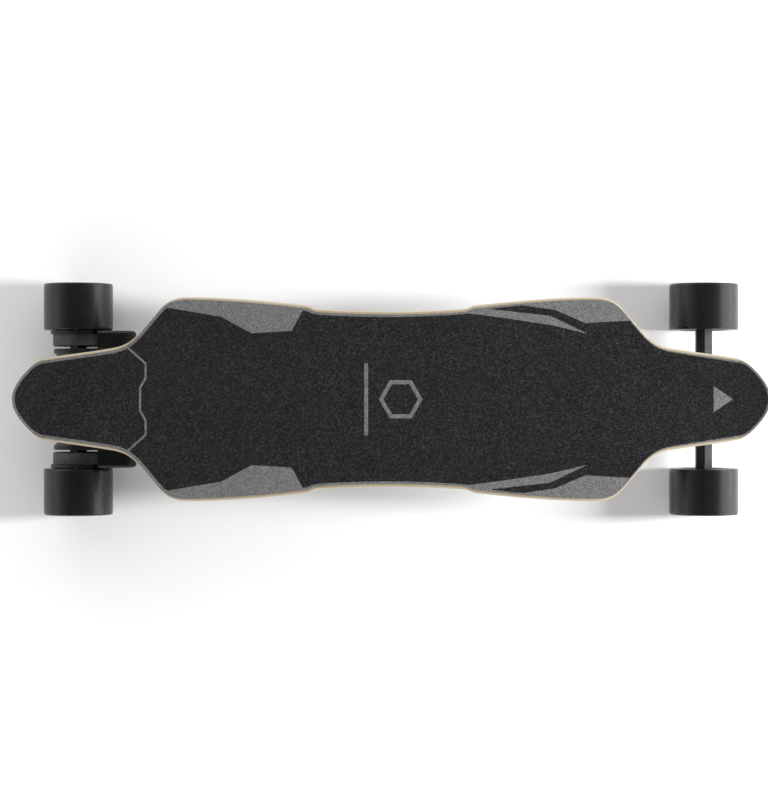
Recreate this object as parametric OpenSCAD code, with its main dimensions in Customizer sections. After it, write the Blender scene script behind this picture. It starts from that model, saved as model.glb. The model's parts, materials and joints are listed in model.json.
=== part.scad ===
// Dual-drive electric skateboard. A flat twin-tipped wooden deck stands on two reverse-kingpin
// trucks, with belt drive at the rear and a sealed electronics box under the deck.
// X runs towards the nose, Y towards the rider's left side, Z up from the ground.

/* [Deck] */
// Length of the deck over its two tips
deck_length = 965; // [955:1:985]
// Greatest width of the deck, across the flares
deck_width = 260; // [250:1:270]
// Thickness of the laminated wood
deck_thickness = 11; // [10:0.5:12]
// Height of the wood's underside above the ground
deck_height = 116; // [115:0.5:119]
// Rise of the nose and tail tips above the platform
tip_rise = 6; // [2:1:10]
// Thickness of the grip sheet
grip_thickness = 1; // [0.8:0.1:1.4]
// Width of the grey line around the grip sheet
border_width = 3.2; // [2.4:0.2:4]

/* [Trucks] */
// Distance between the front and rear axles
wheelbase = 820; // [810:1:830]
// Angle of the steering axes above the horizontal
steer_angle = 45; // [44:0.5:46]
// Distance from the axle up to the steering axis
rake = 10; // [9.5:0.5:10.5]
// Width of the hanger bar
hanger_width = 21; // [19:0.5:22]

/* [Wheels] */
// Diameter of the wheels
wheel_diameter = 90; // [88:1:91]
// Width of the wheels
wheel_width = 60.4; // [59.6:0.1:60.9]
// Distance over the outer faces of a pair of wheels
track_width = 302; // [301.6:0.1:302.8]

/* [Drive] */
// Teeth on each wheel pulley
wheel_teeth = 40; // [39:1:40]
// Teeth on each motor pulley
motor_teeth = 16; // [15:1:17]
// Width of the belts
belt_width = 15; // [12:0.5:15]
// Diameter of the motors
motor_diameter = 50; // [46:1:51]

/* [Electronics box] */
// Length of the box under the deck, without its flange
box_length = 600; // [590:5:605]
// Width of the box, without its flange
box_width = 190; // [186:1:192]
// Depth of the box
box_depth = 34; // [33:0.5:38]
// Wall of the box
box_wall = 2.5; // [2:0.1:3]

/* [Hidden] */
$fn = 48;

// Small amount that cuts run past a face
past = 1;
front = 1;
rear = -1;
left = 1;
right = -1;

// ---- deck outline ----
// A quarter of the edge, from the middle of the waist to the nose tip, on a 965 x 260 board.
// Each curve is a start, two handles and an end, then the bare wood's width at start and end, the
// number of steps, and the share of the grey line's width kept at start and end of the nose half.
base_length = 965;
base_width = 260;
waist = [[0, 112], [32, 112], [62, 113], [92, 115], 4.2, 4.2, 4, 1, 0.75];
shoulder = [[92, 115], [100, 115.5], [101, 119], [110, 120], 4.2, 4.2, 6, 0.75, 0.75];
flare = [[110, 120], [160, 125.5], [210, 130], [256, 130], 4.2, 3.4, 6, 0.75, 0.7];
flare_corner = [[256, 130], [283, 130], [290, 121], [302, 106], 3.4, 1.2, 12, 0.7, 0.3];
hollow = [[302, 106], [324, 81], [331, 70], [354, 65.5], 1.2, 3.6, 10, 0.3, 0.45];
neck = [[354, 65.5], [385, 60], [415, 57], [440, 52.6], 3.6, 3.4, 6, 0.45, 0.8];
tip_corner = [[440, 52.6], [446.5, 51.6], [452.5, 47.5], [458, 42.2], 3.4, 0.3, 6, 0.8, 0.8];
tip = [[458, 42.2], [468, 32.5], [482.5, 17], [482.5, 0], 0.3, 0.3, 12, 0.8, 1];
edge_curves = [waist, shoulder, flare, flare_corner, hollow, neck, tip_corner, tip];
edge_scale = [deck_length / base_length, deck_width / base_width];

function bezier(c, t) = pow(1 - t, 3) * c[0] + 3 * pow(1 - t, 2) * t * c[1]
    + 3 * (1 - t) * t * t * c[2] + pow(t, 3) * c[3];
function heading(c, t) = pow(1 - t, 2) * (c[1] - c[0]) + 2 * (1 - t) * t * (c[2] - c[1])
    + t * t * (c[3] - c[2]);
function inward(c, t) = let (d = heading(c, t)) [d.y, -d.x] / norm(d);
function bare_wood(c, t) = (1 - t) * c[4] + t * c[5];
function line_share(c, t, nose) = nose ? (1 - t) * c[7] + t * c[8] : 1;
function scaled(p) = [p.x * edge_scale.x, p.y * edge_scale.y];
// One point of the edge, moved in by a share of the bare wood's width and by a line's width
function edge_point(c, t, share, inset, nose) =
    scaled(bezier(c, t)) + inward(c, t) * (share * bare_wood(c, t) + inset * line_share(c, t, nose));
function quarter(share, inset, nose) = concat(
    [for (c = edge_curves) for (k = [0 : c[6] - 1]) edge_point(c, k / c[6], share, inset, nose)],
    [edge_point(tip, 1, share, inset, nose)]);
function mirrored(points, sx, sy) = [for (p = points) [sx * p.x, sy * p.y]];
function part_of(points, first, last) =
    [for (i = [first : (first < last ? 1 : -1) : last]) points[i]];
function outline(share, inset) =
    let (q = quarter(share, inset, true), r = quarter(share, inset, false), n = len(q) - 1) concat(
        q, mirrored(part_of(q, n - 1, 0), 1, -1),
        mirrored(part_of(r, 1, n), -1, -1), mirrored(part_of(r, n - 1, 1), -1, 1));

// ---- heights and the kicked tips ----
deck_top = deck_height + deck_thickness;
kick_start = 430;
kick_length = deck_length / 2 - kick_start;
kick_steps = 6;
kick_end = 1.1;
function lift(s) = tip_rise * s * s;
function kick_line(z, side) = [for (i = [0 : kick_steps])
    let (s = kick_end * i / kick_steps) [side * (kick_start + s * kick_length), z + lift(s)]];
function level_line(z) = concat(
    part_of(kick_line(z, -1), kick_steps, 0), kick_line(z, 1));

// A layer of the board between two heights, following the kicked tips
module layer(low, high) {
    upper = level_line(high);
    rotate([90, 0, 0])
        linear_extrude(deck_width + 2 * past, center = true)
            polygon(concat(level_line(low), part_of(upper, len(upper) - 1, 0)));
}

module board_layer(low, high) {
    intersection() {
        translate([0, 0, low - past])
            linear_extrude(high - low + tip_rise * kick_end * kick_end + 2 * past)
                children();
        layer(low, high);
    }
}

// ---- truck geometry, on axes at the middle of an axle: X outwards, Z up ----
axle_z = wheel_diameter / 2;
riser_thickness = 3;
plate_thickness = 6;
plate_top = deck_height - riser_thickness - axle_z;
plate_bottom = plate_top - plate_thickness;
plate_length = 80;
plate_width = 60;
plate_corner = 9;
plate_middle = -10;
bolt_spacing_x = 54;
bolt_spacing_y = 41.3;
bolt_radius = 2.5;
bolt_head_radius = 4.6;
bolt_head_height = 3;
// Along the steering axis, from the point nearest the axle
ring_reach = 30;
pivot_reach = 18;
ring_radius = 17;
ring_half = 4.5;
ring_bore = 7.5;
pin_radius = 4.75;
bushing_radius = 12;
boardside_height = 15;
roadside_height = 14;
washer_thickness = 2;
washer_radius = 12.6;
seat_height = ring_half + boardside_height + washer_thickness;
seat_radius = 14;
seat_depth = 18;
pin_head_low = 38;
pin_head_high = 44;
pin_head_radius = 8;
head_room = 0.6;
pin_low = -31;
nut_height = 8;
pin_nut_radius = 9.8;
road_washer_low = -ring_half - roadside_height - washer_thickness;
ball_radius = 5.5;
nose_radius = 8;
nose_start = -12;
cup_radius = 8;
cup_gap = 0.1;
cup_mouth = -14;
cup_back = -25;
tower_back = -27;
tower_radius = 10;
arm_half = 12;
fit_gap = 0.05;

// Place of a point of the steering plane, as outward distance and height from the axle
function steer_point(x, z) = [
    x * cos(steer_angle) - (z + rake) * sin(steer_angle),
    x * sin(steer_angle) + (z + rake) * cos(steer_angle)];

module at_truck(end) {
    translate([end * wheelbase / 2, 0, axle_z])
        rotate([0, 0, end == front ? 0 : 180])
            children();
}

// X along the steering axis, Z along the kingpin towards the deck
module steer_frame() {
    rotate([0, -steer_angle, 0]) translate([0, 0, rake]) children();
}

module along_x() { rotate([0, 90, 0]) children(); }

// A shape drawn in X and Z, extruded along Y between two distances on one side
module slab(side, inner, outer) {
    translate([0, side * (inner + outer) / 2, 0])
        rotate([90, 0, 0])
            linear_extrude(outer - inner, center = true)
                children();
}

// A cylinder along Y between two distances on one side
module barrel(side, inner, outer, r) {
    translate([0, side * (inner + outer) / 2, 0])
        rotate([90, 0, 0])
            cylinder(r = r, h = outer - inner, center = true);
}

module rounded_rect(length, width, corner) {
    square([length - 2 * corner, width], center = true);
    square([length, width - 2 * corner], center = true);
    for (x = [-1, 1], y = [-1, 1])
        translate([x * (length / 2 - corner), y * (width / 2 - corner)])
            circle(corner);
}

module at_bolts() {
    for (x = [-1, 1], y = [-1, 1])
        translate([plate_middle + x * bolt_spacing_x / 2, y * bolt_spacing_y / 2, 0])
            children();
}

module plate_shape() { translate([plate_middle, 0]) rounded_rect(plate_length, plate_width, plate_corner); }

// ---- deck, grip and hardware in the deck ----
insert_radius = 3.6;
insert_length = 8;
bolt_gap = 0.3;
bolt_socket_radius = 1.8;
bolt_socket_depth = 2;
deck_ends = [front, rear];

// ---- electronics box ----
gasket_thickness = 1;
flange_thickness = 2.5;
flange_width = 10;
flange_top = deck_height - gasket_thickness;
flange_bottom = flange_top - flange_thickness;
box_bottom = flange_top - box_depth;
box_corner = 24;
box_bevel = 9;
screw_rows = [-250, -150, -50, 50, 150, 250];
screw_end_y = 50;
screw_radius = 2;
screw_head_radius = 4;
screw_head_height = 2.4;
screw_socket_radius = 1.5;
screw_socket_depth = 1.5;

module at_box_screws() {
    for (x = screw_rows, side = [left, right])
        translate([x, side * (box_width + flange_width) / 2, 0]) children();
    for (end = deck_ends, side = [left, right])
        translate([end * (box_length + flange_width) / 2, side * screw_end_y, 0]) children();
}

module insert_pockets(r) {
    for (end = deck_ends)
        at_truck(end) at_bolts()
            translate([0, 0, deck_height - axle_z - past]) cylinder(r = r, h = insert_length + past);
    at_box_screws()
        translate([0, 0, deck_height - past]) cylinder(r = r, h = insert_length + past);
}

module deck() {
    color("burlywood")
        difference() {
            board_layer(deck_height, deck_top) polygon(outline(0, 0));
            insert_pockets(insert_radius);
        }
}

module threaded_inserts() {
    color("goldenrod") {
        for (end = deck_ends)
            at_truck(end) at_bolts()
                translate([0, 0, deck_height - axle_z]) insert(bolt_radius);
        at_box_screws()
            translate([0, 0, deck_height]) insert(screw_radius);
    }
}

module insert(bore) {
    difference() {
        cylinder(r = insert_radius, h = insert_length);
        translate([0, 0, -past]) cylinder(r = bore, h = insert_length + 2 * past);
    }
}

// Grey shapes let into the black sheet
rear_panel = [[-294, 118], [-217, 105], [-178, 84], [-127, 87], [-112, 114], [-108, 140], [-294, 140]];
front_panel = [[150, 121.5], [172, 119], [209, 113.5], [247, 97], [304, 100], [304, 140], [150, 140]];
front_sliver = [[98, 109.5], [150, 102.5], [203, 94.5], [250, 83.5], [202, 106.5], [128, 114.5],
    [120, 130], [98, 130]];
seam_half = [[-345, 74], [-313, 45.5], [-313, 27], [-320, 14.5]];
seam_route = concat(seam_half, mirrored(part_of(seam_half, len(seam_half) - 1, 0), 1, -1));
seam_width = 2.7;
nose_mark = [[410.5, -17], [435, 0], [410.5, 17]];
badge_centre = 12;
badge_outer = 28;
badge_inner = 22;
bar_place = -32;
bar_size = [5, 92];

function side_of(p, q) = let (d = q - p) [-d.y, d.x] / norm(d);
// Sideways shift at a corner of a route, mitred between its two runs
function mitre(route, i) = let (
    a = side_of(route[max(i - 1, 0)], route[max(i, 1)]),
    b = side_of(route[min(i, len(route) - 2)], route[min(i + 1, len(route) - 1)]),
    m = (a + b) / norm(a + b)) m / (m * a);
function beside(route, distance) =
    [for (i = [0 : len(route) - 1]) route[i] + distance * mitre(route, i)];
function ribbon(route, width) = concat(beside(route, width / 2),
    part_of(beside(route, -width / 2), len(route) - 1, 0));

module both_sides() {
    children();
    mirror([0, 1]) children();
}

// The black sheet, with the grey shapes cut out of it
module black_shape() {
    difference() {
        polygon(outline(1, border_width));
        both_sides() {
            polygon(rear_panel);
            polygon(front_panel);
            polygon(front_sliver);
        }
        polygon(ribbon(seam_route, seam_width));
        polygon(nose_mark);
        translate([bar_place, 0]) square(bar_size, center = true);
        translate([badge_centre, 0]) difference() {
            circle(badge_outer, $fn = 6);
            circle(badge_inner, $fn = 6);
        }
    }
}

module grip_tape() {
    color([0.17, 0.17, 0.18])
        board_layer(deck_top, deck_top + grip_thickness) black_shape();
}

module grip_inlays() {
    color([0.48, 0.48, 0.48])
        board_layer(deck_top, deck_top + grip_thickness)
            difference() {
                polygon(outline(1, 0));
                black_shape();
            }
}

module riser_pads() {
    color([0.1, 0.1, 0.1])
        for (end = deck_ends)
            at_truck(end)
                difference() {
                    translate([0, 0, plate_top]) linear_extrude(riser_thickness) plate_shape();
                    at_bolts() translate([0, 0, plate_top - past])
                        cylinder(r = bolt_radius + bolt_gap, h = riser_thickness + 2 * past);
                }
}

// ---- trucks ----
arm_low = 6;
arm_inboard = [[-29, 8], [-31, 28]];
arm_top_inboard = -46;
arm_top_outboard = 16;
arm_bend = -4;
seat_edge = 2;
seat_step = 1.5;
tower_step = 0.4;
arm_profile = concat(
    [steer_point(cup_mouth - past, arm_low), steer_point(tower_back + past, arm_low)],
    arm_inboard,
    [[arm_top_inboard, plate_bottom + past], [arm_top_outboard, plate_bottom + past]],
    [steer_point(ring_reach + seat_radius - seat_edge, seat_height + seat_step)],
    [steer_point(ring_reach - seat_radius + seat_edge, seat_height + seat_step)],
    [steer_point(arm_bend, tower_radius), steer_point(cup_mouth - past, tower_radius - tower_step)]);

module baseplate() {
    difference() {
        union() {
            translate([0, 0, plate_bottom]) linear_extrude(plate_thickness) plate_shape();
            rotate([90, 0, 0]) linear_extrude(2 * arm_half, center = true) polygon(arm_profile);
            steer_frame() {
                translate([ring_reach, 0, seat_height]) cylinder(r = seat_radius, h = seat_depth);
                translate([tower_back, 0, 0]) along_x()
                    cylinder(r = tower_radius, h = cup_mouth - tower_back);
            }
        }
        steer_frame() {
            translate([ring_reach, 0, 0]) cylinder(r = pin_radius + fit_gap, h = 2 * pin_head_low);
            translate([ring_reach, 0, pin_head_low])
                cylinder(r = pin_head_radius + head_room, h = pin_head_low);
            translate([cup_back, 0, 0]) along_x() cylinder(r = cup_radius, h = past + cup_mouth - cup_back);
        }
        at_bolts() translate([0, 0, plate_bottom - past])
            cylinder(r = bolt_radius + bolt_gap, h = plate_thickness + 2 * past);
    }
}

module front_baseplate() { color([0.12, 0.12, 0.13]) at_truck(front) baseplate(); }

module rear_baseplate() { color([0.12, 0.12, 0.13]) at_truck(rear) baseplate(); }

module truck_bolts() {
    thread_top = deck_height - axle_z + insert_length;
    color([0.3, 0.3, 0.31])
        for (end = deck_ends)
            at_truck(end) at_bolts() difference() {
                union() {
                    translate([0, 0, plate_bottom - bolt_head_height])
                        cylinder(r = bolt_head_radius, h = bolt_head_height);
                    translate([0, 0, plate_bottom - past])
                        cylinder(r = bolt_radius, h = thread_top - plate_bottom + past);
                }
                translate([0, 0, plate_bottom - bolt_head_height - past])
                    cylinder(r = bolt_socket_radius, h = bolt_socket_depth + past, $fn = 6);
            }
}

module pivot_cups() {
    color([0.75, 0.2, 0.12])
        for (end = deck_ends)
            at_truck(end) steer_frame() difference() {
                translate([cup_back, 0, 0]) along_x() cylinder(r = cup_radius, h = cup_mouth - cup_back);
                translate([-pivot_reach, 0, 0]) {
                    sphere(r = ball_radius + cup_gap);
                    along_x() cylinder(r = ball_radius + cup_gap, h = pivot_reach);
                }
            }
}

module kingpins() {
    color([0.55, 0.55, 0.57])
        for (end = deck_ends)
            at_truck(end) steer_frame() translate([ring_reach, 0, 0]) {
                translate([0, 0, pin_low]) cylinder(r = pin_radius, h = pin_head_low - pin_low + past);
                translate([0, 0, pin_head_low])
                    cylinder(r = pin_head_radius, h = pin_head_high - pin_head_low, $fn = 6);
            }
}

module kingpin_nuts() {
    color([0.6, 0.6, 0.62])
        for (end = deck_ends)
            at_truck(end) steer_frame() translate([ring_reach, 0, road_washer_low - nut_height])
                difference() {
                    cylinder(r = pin_nut_radius, h = nut_height, $fn = 6);
                    translate([0, 0, -past]) cylinder(r = pin_radius, h = nut_height + 2 * past);
                }
}

module collar(r, bore, height) {
    difference() {
        cylinder(r = r, h = height);
        translate([0, 0, -past]) cylinder(r = bore, h = height + 2 * past);
    }
}

module bushings() {
    color([0.72, 0.16, 0.12])
        for (end = deck_ends)
            at_truck(end) steer_frame() translate([ring_reach, 0, 0]) {
                translate([0, 0, ring_half]) collar(bushing_radius, pin_radius + fit_gap, boardside_height);
                translate([0, 0, -ring_half - roadside_height])
                    collar(bushing_radius, pin_radius + fit_gap, roadside_height);
            }
}

module bushing_washers() {
    color([0.7, 0.7, 0.72])
        for (end = deck_ends)
            at_truck(end) steer_frame() translate([ring_reach, 0, 0]) {
                translate([0, 0, ring_half + boardside_height])
                    collar(washer_radius, pin_radius + fit_gap, washer_thickness);
                translate([0, 0, road_washer_low])
                    collar(washer_radius, pin_radius + fit_gap, washer_thickness);
            }
}

// Section of the hanger bar: a ridge on top between two slopes
bar_half = hanger_width / 2;
bar_ridge = 11;
bar_shoulder = 4;
bar_hip = -6;
bar_low = -10.5;
bar_foot = 6;
bar_section = [[0, bar_ridge], [bar_half, bar_shoulder], [bar_half, bar_hip], [bar_foot, bar_low],
    [-bar_foot, bar_low], [-bar_half, bar_hip], [-bar_half, bar_shoulder]];
axle_radius = 4;
wheel_inner = track_width / 2 - wheel_width;
wheel_outer = track_width / 2;
front_bar_end = wheel_inner + 0.9;
rear_bar_end = 68.6;
yoke_foot = 46;
yoke_neck = 15;
yoke_start = -2;
yoke_rise = 4;
yoke_back = -11;
yoke_back_half = 16;
yoke_top = ring_reach - 4;
rib_width = 8;
rib_depth = 5;
cup_lip = 2;
cup_lip_wall = 2;
lip_gap = 0.3;

// The web lies in the steering plane, from the bar up to the kingpin ring
module yoke_shape() {
    polygon([[yoke_start, -yoke_foot], [yoke_rise, -yoke_foot], [yoke_top, -yoke_neck],
        [yoke_top, yoke_neck], [yoke_rise, yoke_foot], [yoke_start, yoke_foot],
        [yoke_back, yoke_back_half], [yoke_back, -yoke_back_half]]);
    translate([ring_reach, 0]) circle(ring_radius);
}

module hanger(bar_end) {
    difference() {
        union() {
            rotate([90, 0, 0]) linear_extrude(2 * bar_end, center = true) polygon(bar_section);
            steer_frame() {
                translate([0, 0, -ring_half]) linear_extrude(2 * ring_half) yoke_shape();
                translate([yoke_start, -yoke_foot, -ring_half - rib_depth])
                    cube([rib_width, 2 * yoke_foot, rib_depth + past]);
                translate([ring_reach, 0, -ring_half - cup_lip])
                    cylinder(r = bushing_radius + lip_gap + cup_lip_wall, h = 2 * (ring_half + cup_lip));
                translate([nose_start, 0, 0]) along_x() cylinder(r = nose_radius, h = -nose_start);
                translate([-pivot_reach, 0, 0]) along_x() cylinder(r = ball_radius, h = pivot_reach);
                translate([-pivot_reach, 0, 0]) sphere(r = ball_radius);
            }
        }
        steer_frame() translate([ring_reach, 0, 0]) {
            cylinder(r = ring_bore, h = 2 * ring_radius, center = true);
            translate([0, 0, ring_half]) cylinder(r = bushing_radius + lip_gap, h = cup_lip + past);
            translate([0, 0, -ring_half - cup_lip - past])
                cylinder(r = bushing_radius + lip_gap, h = cup_lip + past);
        }
        rotate([90, 0, 0]) cylinder(r = axle_radius, h = 2 * bar_end + 2 * past, center = true);
    }
}

module front_hanger() { color([0.4, 0.4, 0.41]) at_truck(front) hanger(front_bar_end); }

module rear_hanger() { color([0.4, 0.4, 0.41]) at_truck(rear) hanger(rear_bar_end); }

// ---- wheels ----
bearing_width = 7;
bearing_radius = 11;
inner_bearing = wheel_inner + 2.6;
outer_bearing = inner_bearing + 24;
pulley_bearing = 70.4;
race_wall = 1.7;
inner_race_radius = 5.9;
ball_ring = 7.6;
ball_size = 1.6;
axle_end = outer_bearing + bearing_width + 12;
axle_nut_radius = 7.5;
axle_nut_height = 8;
spacer_radius = 5.8;
spacer_gap = 0.1;
tyre_bore = 30.5;
lip_radius = 1.6;
hub_radius = 15.5;
hub_bore = bearing_radius - 2;
rim_inner = 27;
spoke_count = 5;
spoke_width = 6;
spoke_inner = inner_bearing + 5;
spoke_outer = outer_bearing + 4;
core_inner = wheel_inner + 2.4;
core_outer = outer_bearing + bearing_width + 1.5;
rim_start = wheel_inner + 4;
rim_outer = wheel_outer - 6;
end_washer = 1.2;
ball_count = 7;
shield_inset = 0.2;
shield_thickness = 0.5;
shield_gap = 0.3;

module axle() {
    rotate([90, 0, 0]) cylinder(r = axle_radius, h = 2 * axle_end, center = true);
}

module front_axle() { color([0.72, 0.72, 0.74]) at_truck(front) axle(); }

module rear_axle() { color([0.72, 0.72, 0.74]) at_truck(rear) axle(); }

module sleeve(side, inner, outer, r, bore) {
    difference() {
        barrel(side, inner, outer, r);
        barrel(side, inner - past, outer + past, bore);
    }
}

// Spacers and nut of one end of an axle; stops lists the inner faces of its bearings
module axle_hardware(side, bar_end, stops) {
    faces = concat([bar_end - bearing_width], stops);
    for (i = [0 : len(stops) - 1])
        sleeve(side, faces[i] + bearing_width + (i == 0 ? 0 : spacer_gap), stops[i] - spacer_gap,
            spacer_radius, axle_radius);
    nut_face = outer_bearing + bearing_width + spacer_gap;
    sleeve(side, nut_face, nut_face + end_washer, spacer_radius, axle_radius);
    difference() {
        translate([0, side * (nut_face + end_washer + axle_nut_height / 2), 0]) rotate([90, 0, 0])
            cylinder(r = axle_nut_radius, h = axle_nut_height, center = true, $fn = 6);
        barrel(side, nut_face, axle_end + past, axle_radius);
    }
}

module front_axle_nuts() {
    color([0.62, 0.62, 0.64])
        at_truck(front)
            for (side = [left, right])
                axle_hardware(side, front_bar_end, [inner_bearing, outer_bearing]);
}

module rear_axle_nuts() {
    color([0.62, 0.62, 0.64])
        at_truck(rear)
            for (side = [left, right])
                axle_hardware(side, rear_bar_end, [pulley_bearing, outer_bearing]);
}

module at_axle(end) { translate([end * wheelbase / 2, 0, axle_z]) children(); }

module tyre(end, side) {
    color([0.1, 0.1, 0.11])
        at_axle(end)
            translate([0, side * (wheel_inner + wheel_outer) / 2, 0])
                rotate([90, 0, 0])
                    rotate_extrude($fn = 96)
                        tyre_section();
}

// Half section of the tyre: radius across, width up, with rounded lips
module tyre_section() {
    half = wheel_width / 2;
    difference() {
        translate([tyre_bore, -half]) square([axle_z - tyre_bore, wheel_width]);
        for (end = [-1, 1])
            translate([axle_z - lip_radius, end * (half - lip_radius)]) difference() {
                translate([0, end > 0 ? 0 : -lip_radius - past]) square(lip_radius + past);
                circle(lip_radius, $fn = 48);
            }
    }
}

module wheel_core(end, side) {
    color([0.2, 0.2, 0.21])
        at_axle(end) difference() {
            union() {
                barrel(side, core_inner, core_outer, hub_radius);
                sleeve(side, rim_start, rim_outer, tyre_bore, rim_inner);
                slab(side, spoke_inner, spoke_outer)
                    for (i = [0 : spoke_count - 1]) rotate(90 + i * 360 / spoke_count)
                        translate([0, -spoke_width / 2]) square([rim_inner + past, spoke_width]);
            }
            barrel(side, core_inner - past, inner_bearing + bearing_width, bearing_radius);
            barrel(side, outer_bearing, core_outer + past, bearing_radius);
            barrel(side, core_inner, core_outer, hub_bore);
        }
}

module bearing(side, place) {
    sleeve(side, place, place + bearing_width, bearing_radius, bearing_radius - race_wall);
    sleeve(side, place, place + bearing_width, inner_race_radius, axle_radius + fit_gap);
    for (face = [place + shield_inset, place + bearing_width - shield_inset - shield_thickness])
        sleeve(side, face, face + shield_thickness, bearing_radius - race_wall,
            inner_race_radius + shield_gap);
    for (i = [0 : ball_count - 1])
        rotate([0, i * 360 / ball_count, 0])
            translate([ball_ring, side * (place + bearing_width / 2), 0])
                sphere(r = ball_size, $fn = 24);
}

module bearings(end, side, places) {
    color([0.75, 0.75, 0.77])
        at_axle(end) for (place = places) bearing(side, place);
}

// ---- drive, on axes at the middle of the rear axle: X outwards ----
tooth_pitch = 5;
pitch_depth = 0.57;
belt_back = 1.73;
belt_gap = 0.12;
tooth_depth = 2;
motor_x = -58.5;
motor_z = 10;
motor_distance = norm([motor_x, motor_z]);
wheel_pulley_radius = wheel_teeth * tooth_pitch / (2 * PI) - pitch_depth;
motor_pulley_radius = motor_teeth * tooth_pitch / (2 * PI) - pitch_depth;
teeth_inner = 69.2;
teeth_outer = wheel_inner - 5.1;
belt_inner = teeth_inner + 0.7;
flange_outer = wheel_inner - 1.1;
flange_radius = 35.8;
motor_flange_radius = 15;
plate_inner = 60;
plate_outer = 66;
clamp_inner = 55;
clamp_radius = 32;
clamp_small_radius = 26.5;
mount_end_radius = 26;
can_inner = 7;
can_outer = 54.6;
motor_base_inner = 55.4;
motor_radius = motor_diameter / 2;
shaft_radius = 4;
cover_wall = 2;
cover_open_x = -29.4;
cover_low_radius = 37.2;
cover_high_radius = 16.2;
cover_face = wheel_inner - 4;
cover_outer = wheel_inner - 1.5;
cover_bevel = 2.8;
clamp_edge = 0.5;
shaft_room = 4;
motor_screw_count = 4;
motor_screw_ring = 22;
motor_screw_radius = 1.6;
motor_screw_head = 3;
motor_screw_head_height = 2.2;
screw_gap = 0.1;

module at_motor() { translate([motor_x, 0, motor_z]) children(); }

// Outline around the axle and the motor axis, with straight runs between
round_steps = 48;
function arc_points(centre, r, start, sweep) = [for (i = [0 : round_steps])
    let (a = start + sweep * i / round_steps) centre + r * [cos(a), sin(a)]];
function belt_loop(axle_r, motor_r) =
    let (tilt = atan2(motor_z, motor_x), lean = acos((axle_r - motor_r) / motor_distance))
    concat(arc_points([0, 0], axle_r, tilt + lean, 360 - 2 * lean),
        arc_points([motor_x, motor_z], motor_r, tilt - lean, 2 * lean));

module two_rounds(axle_r, motor_r) { polygon(belt_loop(axle_r, motor_r)); }

module at_rear(side) {
    translate([rear * wheelbase / 2, 0, axle_z]) mirror([1, 0, 0]) children();
}

module motor_mount(side) {
    color([0.1, 0.1, 0.11])
        at_rear(side) difference() {
            union() {
                slab(side, plate_inner, plate_outer) two_rounds(clamp_radius, mount_end_radius);
                translate([0, side * (clamp_inner + plate_inner + past) / 2, 0])
                    rotate([side * 90, 0, 0])
                        cylinder(r1 = clamp_radius - clamp_edge, r2 = clamp_small_radius,
                            h = plate_inner + past - clamp_inner, center = true);
            }
            slab(side, clamp_inner - past, plate_outer + past) polygon(bar_section);
            at_motor() barrel(side, plate_inner - past, plate_outer + past, shaft_radius + shaft_room);
            at_motor_screws()
                barrel(side, plate_inner - past, plate_outer + past, motor_screw_radius + screw_gap);
        }
}

module screw_ring() {
    for (i = [0 : motor_screw_count - 1])
        rotate([0, (i + 0.5) * 360 / motor_screw_count, 0])
            translate([motor_screw_ring, 0, 0]) children();
}

module at_motor_screws() { at_motor() screw_ring() children(); }

module drive_screws() {
    color([0.25, 0.25, 0.26])
        for (side = [left, right])
            at_rear(side) at_motor_screws() {
                barrel(side, plate_outer, plate_outer + motor_screw_head_height, motor_screw_head);
                barrel(side, motor_base_inner + past, plate_outer + past, motor_screw_radius);
            }
}

cable_lean = 60;
cable_boss_radius = 4.2;
cable_boss_start = 26.6;
cable_boss_reach = 30.9;
cable_neck_start = 20;
carrier_radius = 8;
carrier_end = 5;
coil_start = 9;
coil_end = 6;

// Coil stack, carrier tube and base of a motor; the can turns around them
module motor_stator(side) {
    color([0.55, 0.38, 0.2])
        at_rear(side) at_motor() difference() {
            union() {
                barrel(side, motor_base_inner, plate_inner, motor_radius);
                barrel(side, can_inner + carrier_end, plate_inner, carrier_radius);
                slab(side, can_inner + coil_start, can_outer - coil_end) stator_teeth();
                slab(side, motor_base_inner, plate_inner)
                    rotate(180 - cable_lean) translate([cable_neck_start, -cable_boss_radius])
                        square([cable_boss_start + past - cable_neck_start, 2 * cable_boss_radius]);
                translate([0, side * (motor_base_inner + plate_inner) / 2, 0]) rotate([0, cable_lean - 90, 0])
                    translate([0, 0, cable_boss_start])
                        cylinder(r = cable_boss_radius, h = cable_boss_reach - cable_boss_start);
            }
            barrel(side, can_inner, plate_inner + past, shaft_radius + fit_gap);
            screw_ring() barrel(side, motor_base_inner - past, plate_inner + past, motor_screw_radius);
        }
}

stator_arms = 12;
stator_radius = motor_radius - 4.2;
stator_rim = 3;
stator_slot = 1.6;
stator_arm_width = 4.8;

module stator_teeth() {
    circle(stator_radius / 2, $fn = 48);
    difference() {
        circle(stator_radius, $fn = 72);
        circle(stator_radius - stator_rim, $fn = 72);
        for (i = [0 : stator_arms - 1]) rotate((i + 0.5) * 360 / stator_arms)
            translate([stator_radius - stator_rim - past, -stator_slot / 2])
                square([stator_rim + 2 * past, stator_slot]);
    }
    for (i = [0 : stator_arms - 1]) rotate(i * 360 / stator_arms)
        translate([stator_radius / 2 - past, -stator_arm_width / 2])
            square([stator_radius / 2, stator_arm_width]);
}

can_wall = 3.2;
can_floor = 3;
vent_count = 6;
vent_radius = 4.2;
vent_ring = motor_radius / 2 + 2.5;
shaft_start = 5.5;
shaft_end = teeth_outer + 0.5;

module motor_rotor(side) {
    color([0.16, 0.16, 0.17])
        at_rear(side) at_motor() {
            difference() {
                barrel(side, can_inner, can_outer, motor_radius);
                barrel(side, can_inner + can_floor, can_outer + past, motor_radius - can_wall);
                for (i = [0 : vent_count - 1])
                    rotate([0, i * 360 / vent_count, 0]) translate([vent_ring, 0, 0])
                        barrel(side, can_inner - past, can_inner + can_floor + past, vent_radius);
            }
            barrel(side, shaft_start, shaft_end, shaft_radius);
        }
}

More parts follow.
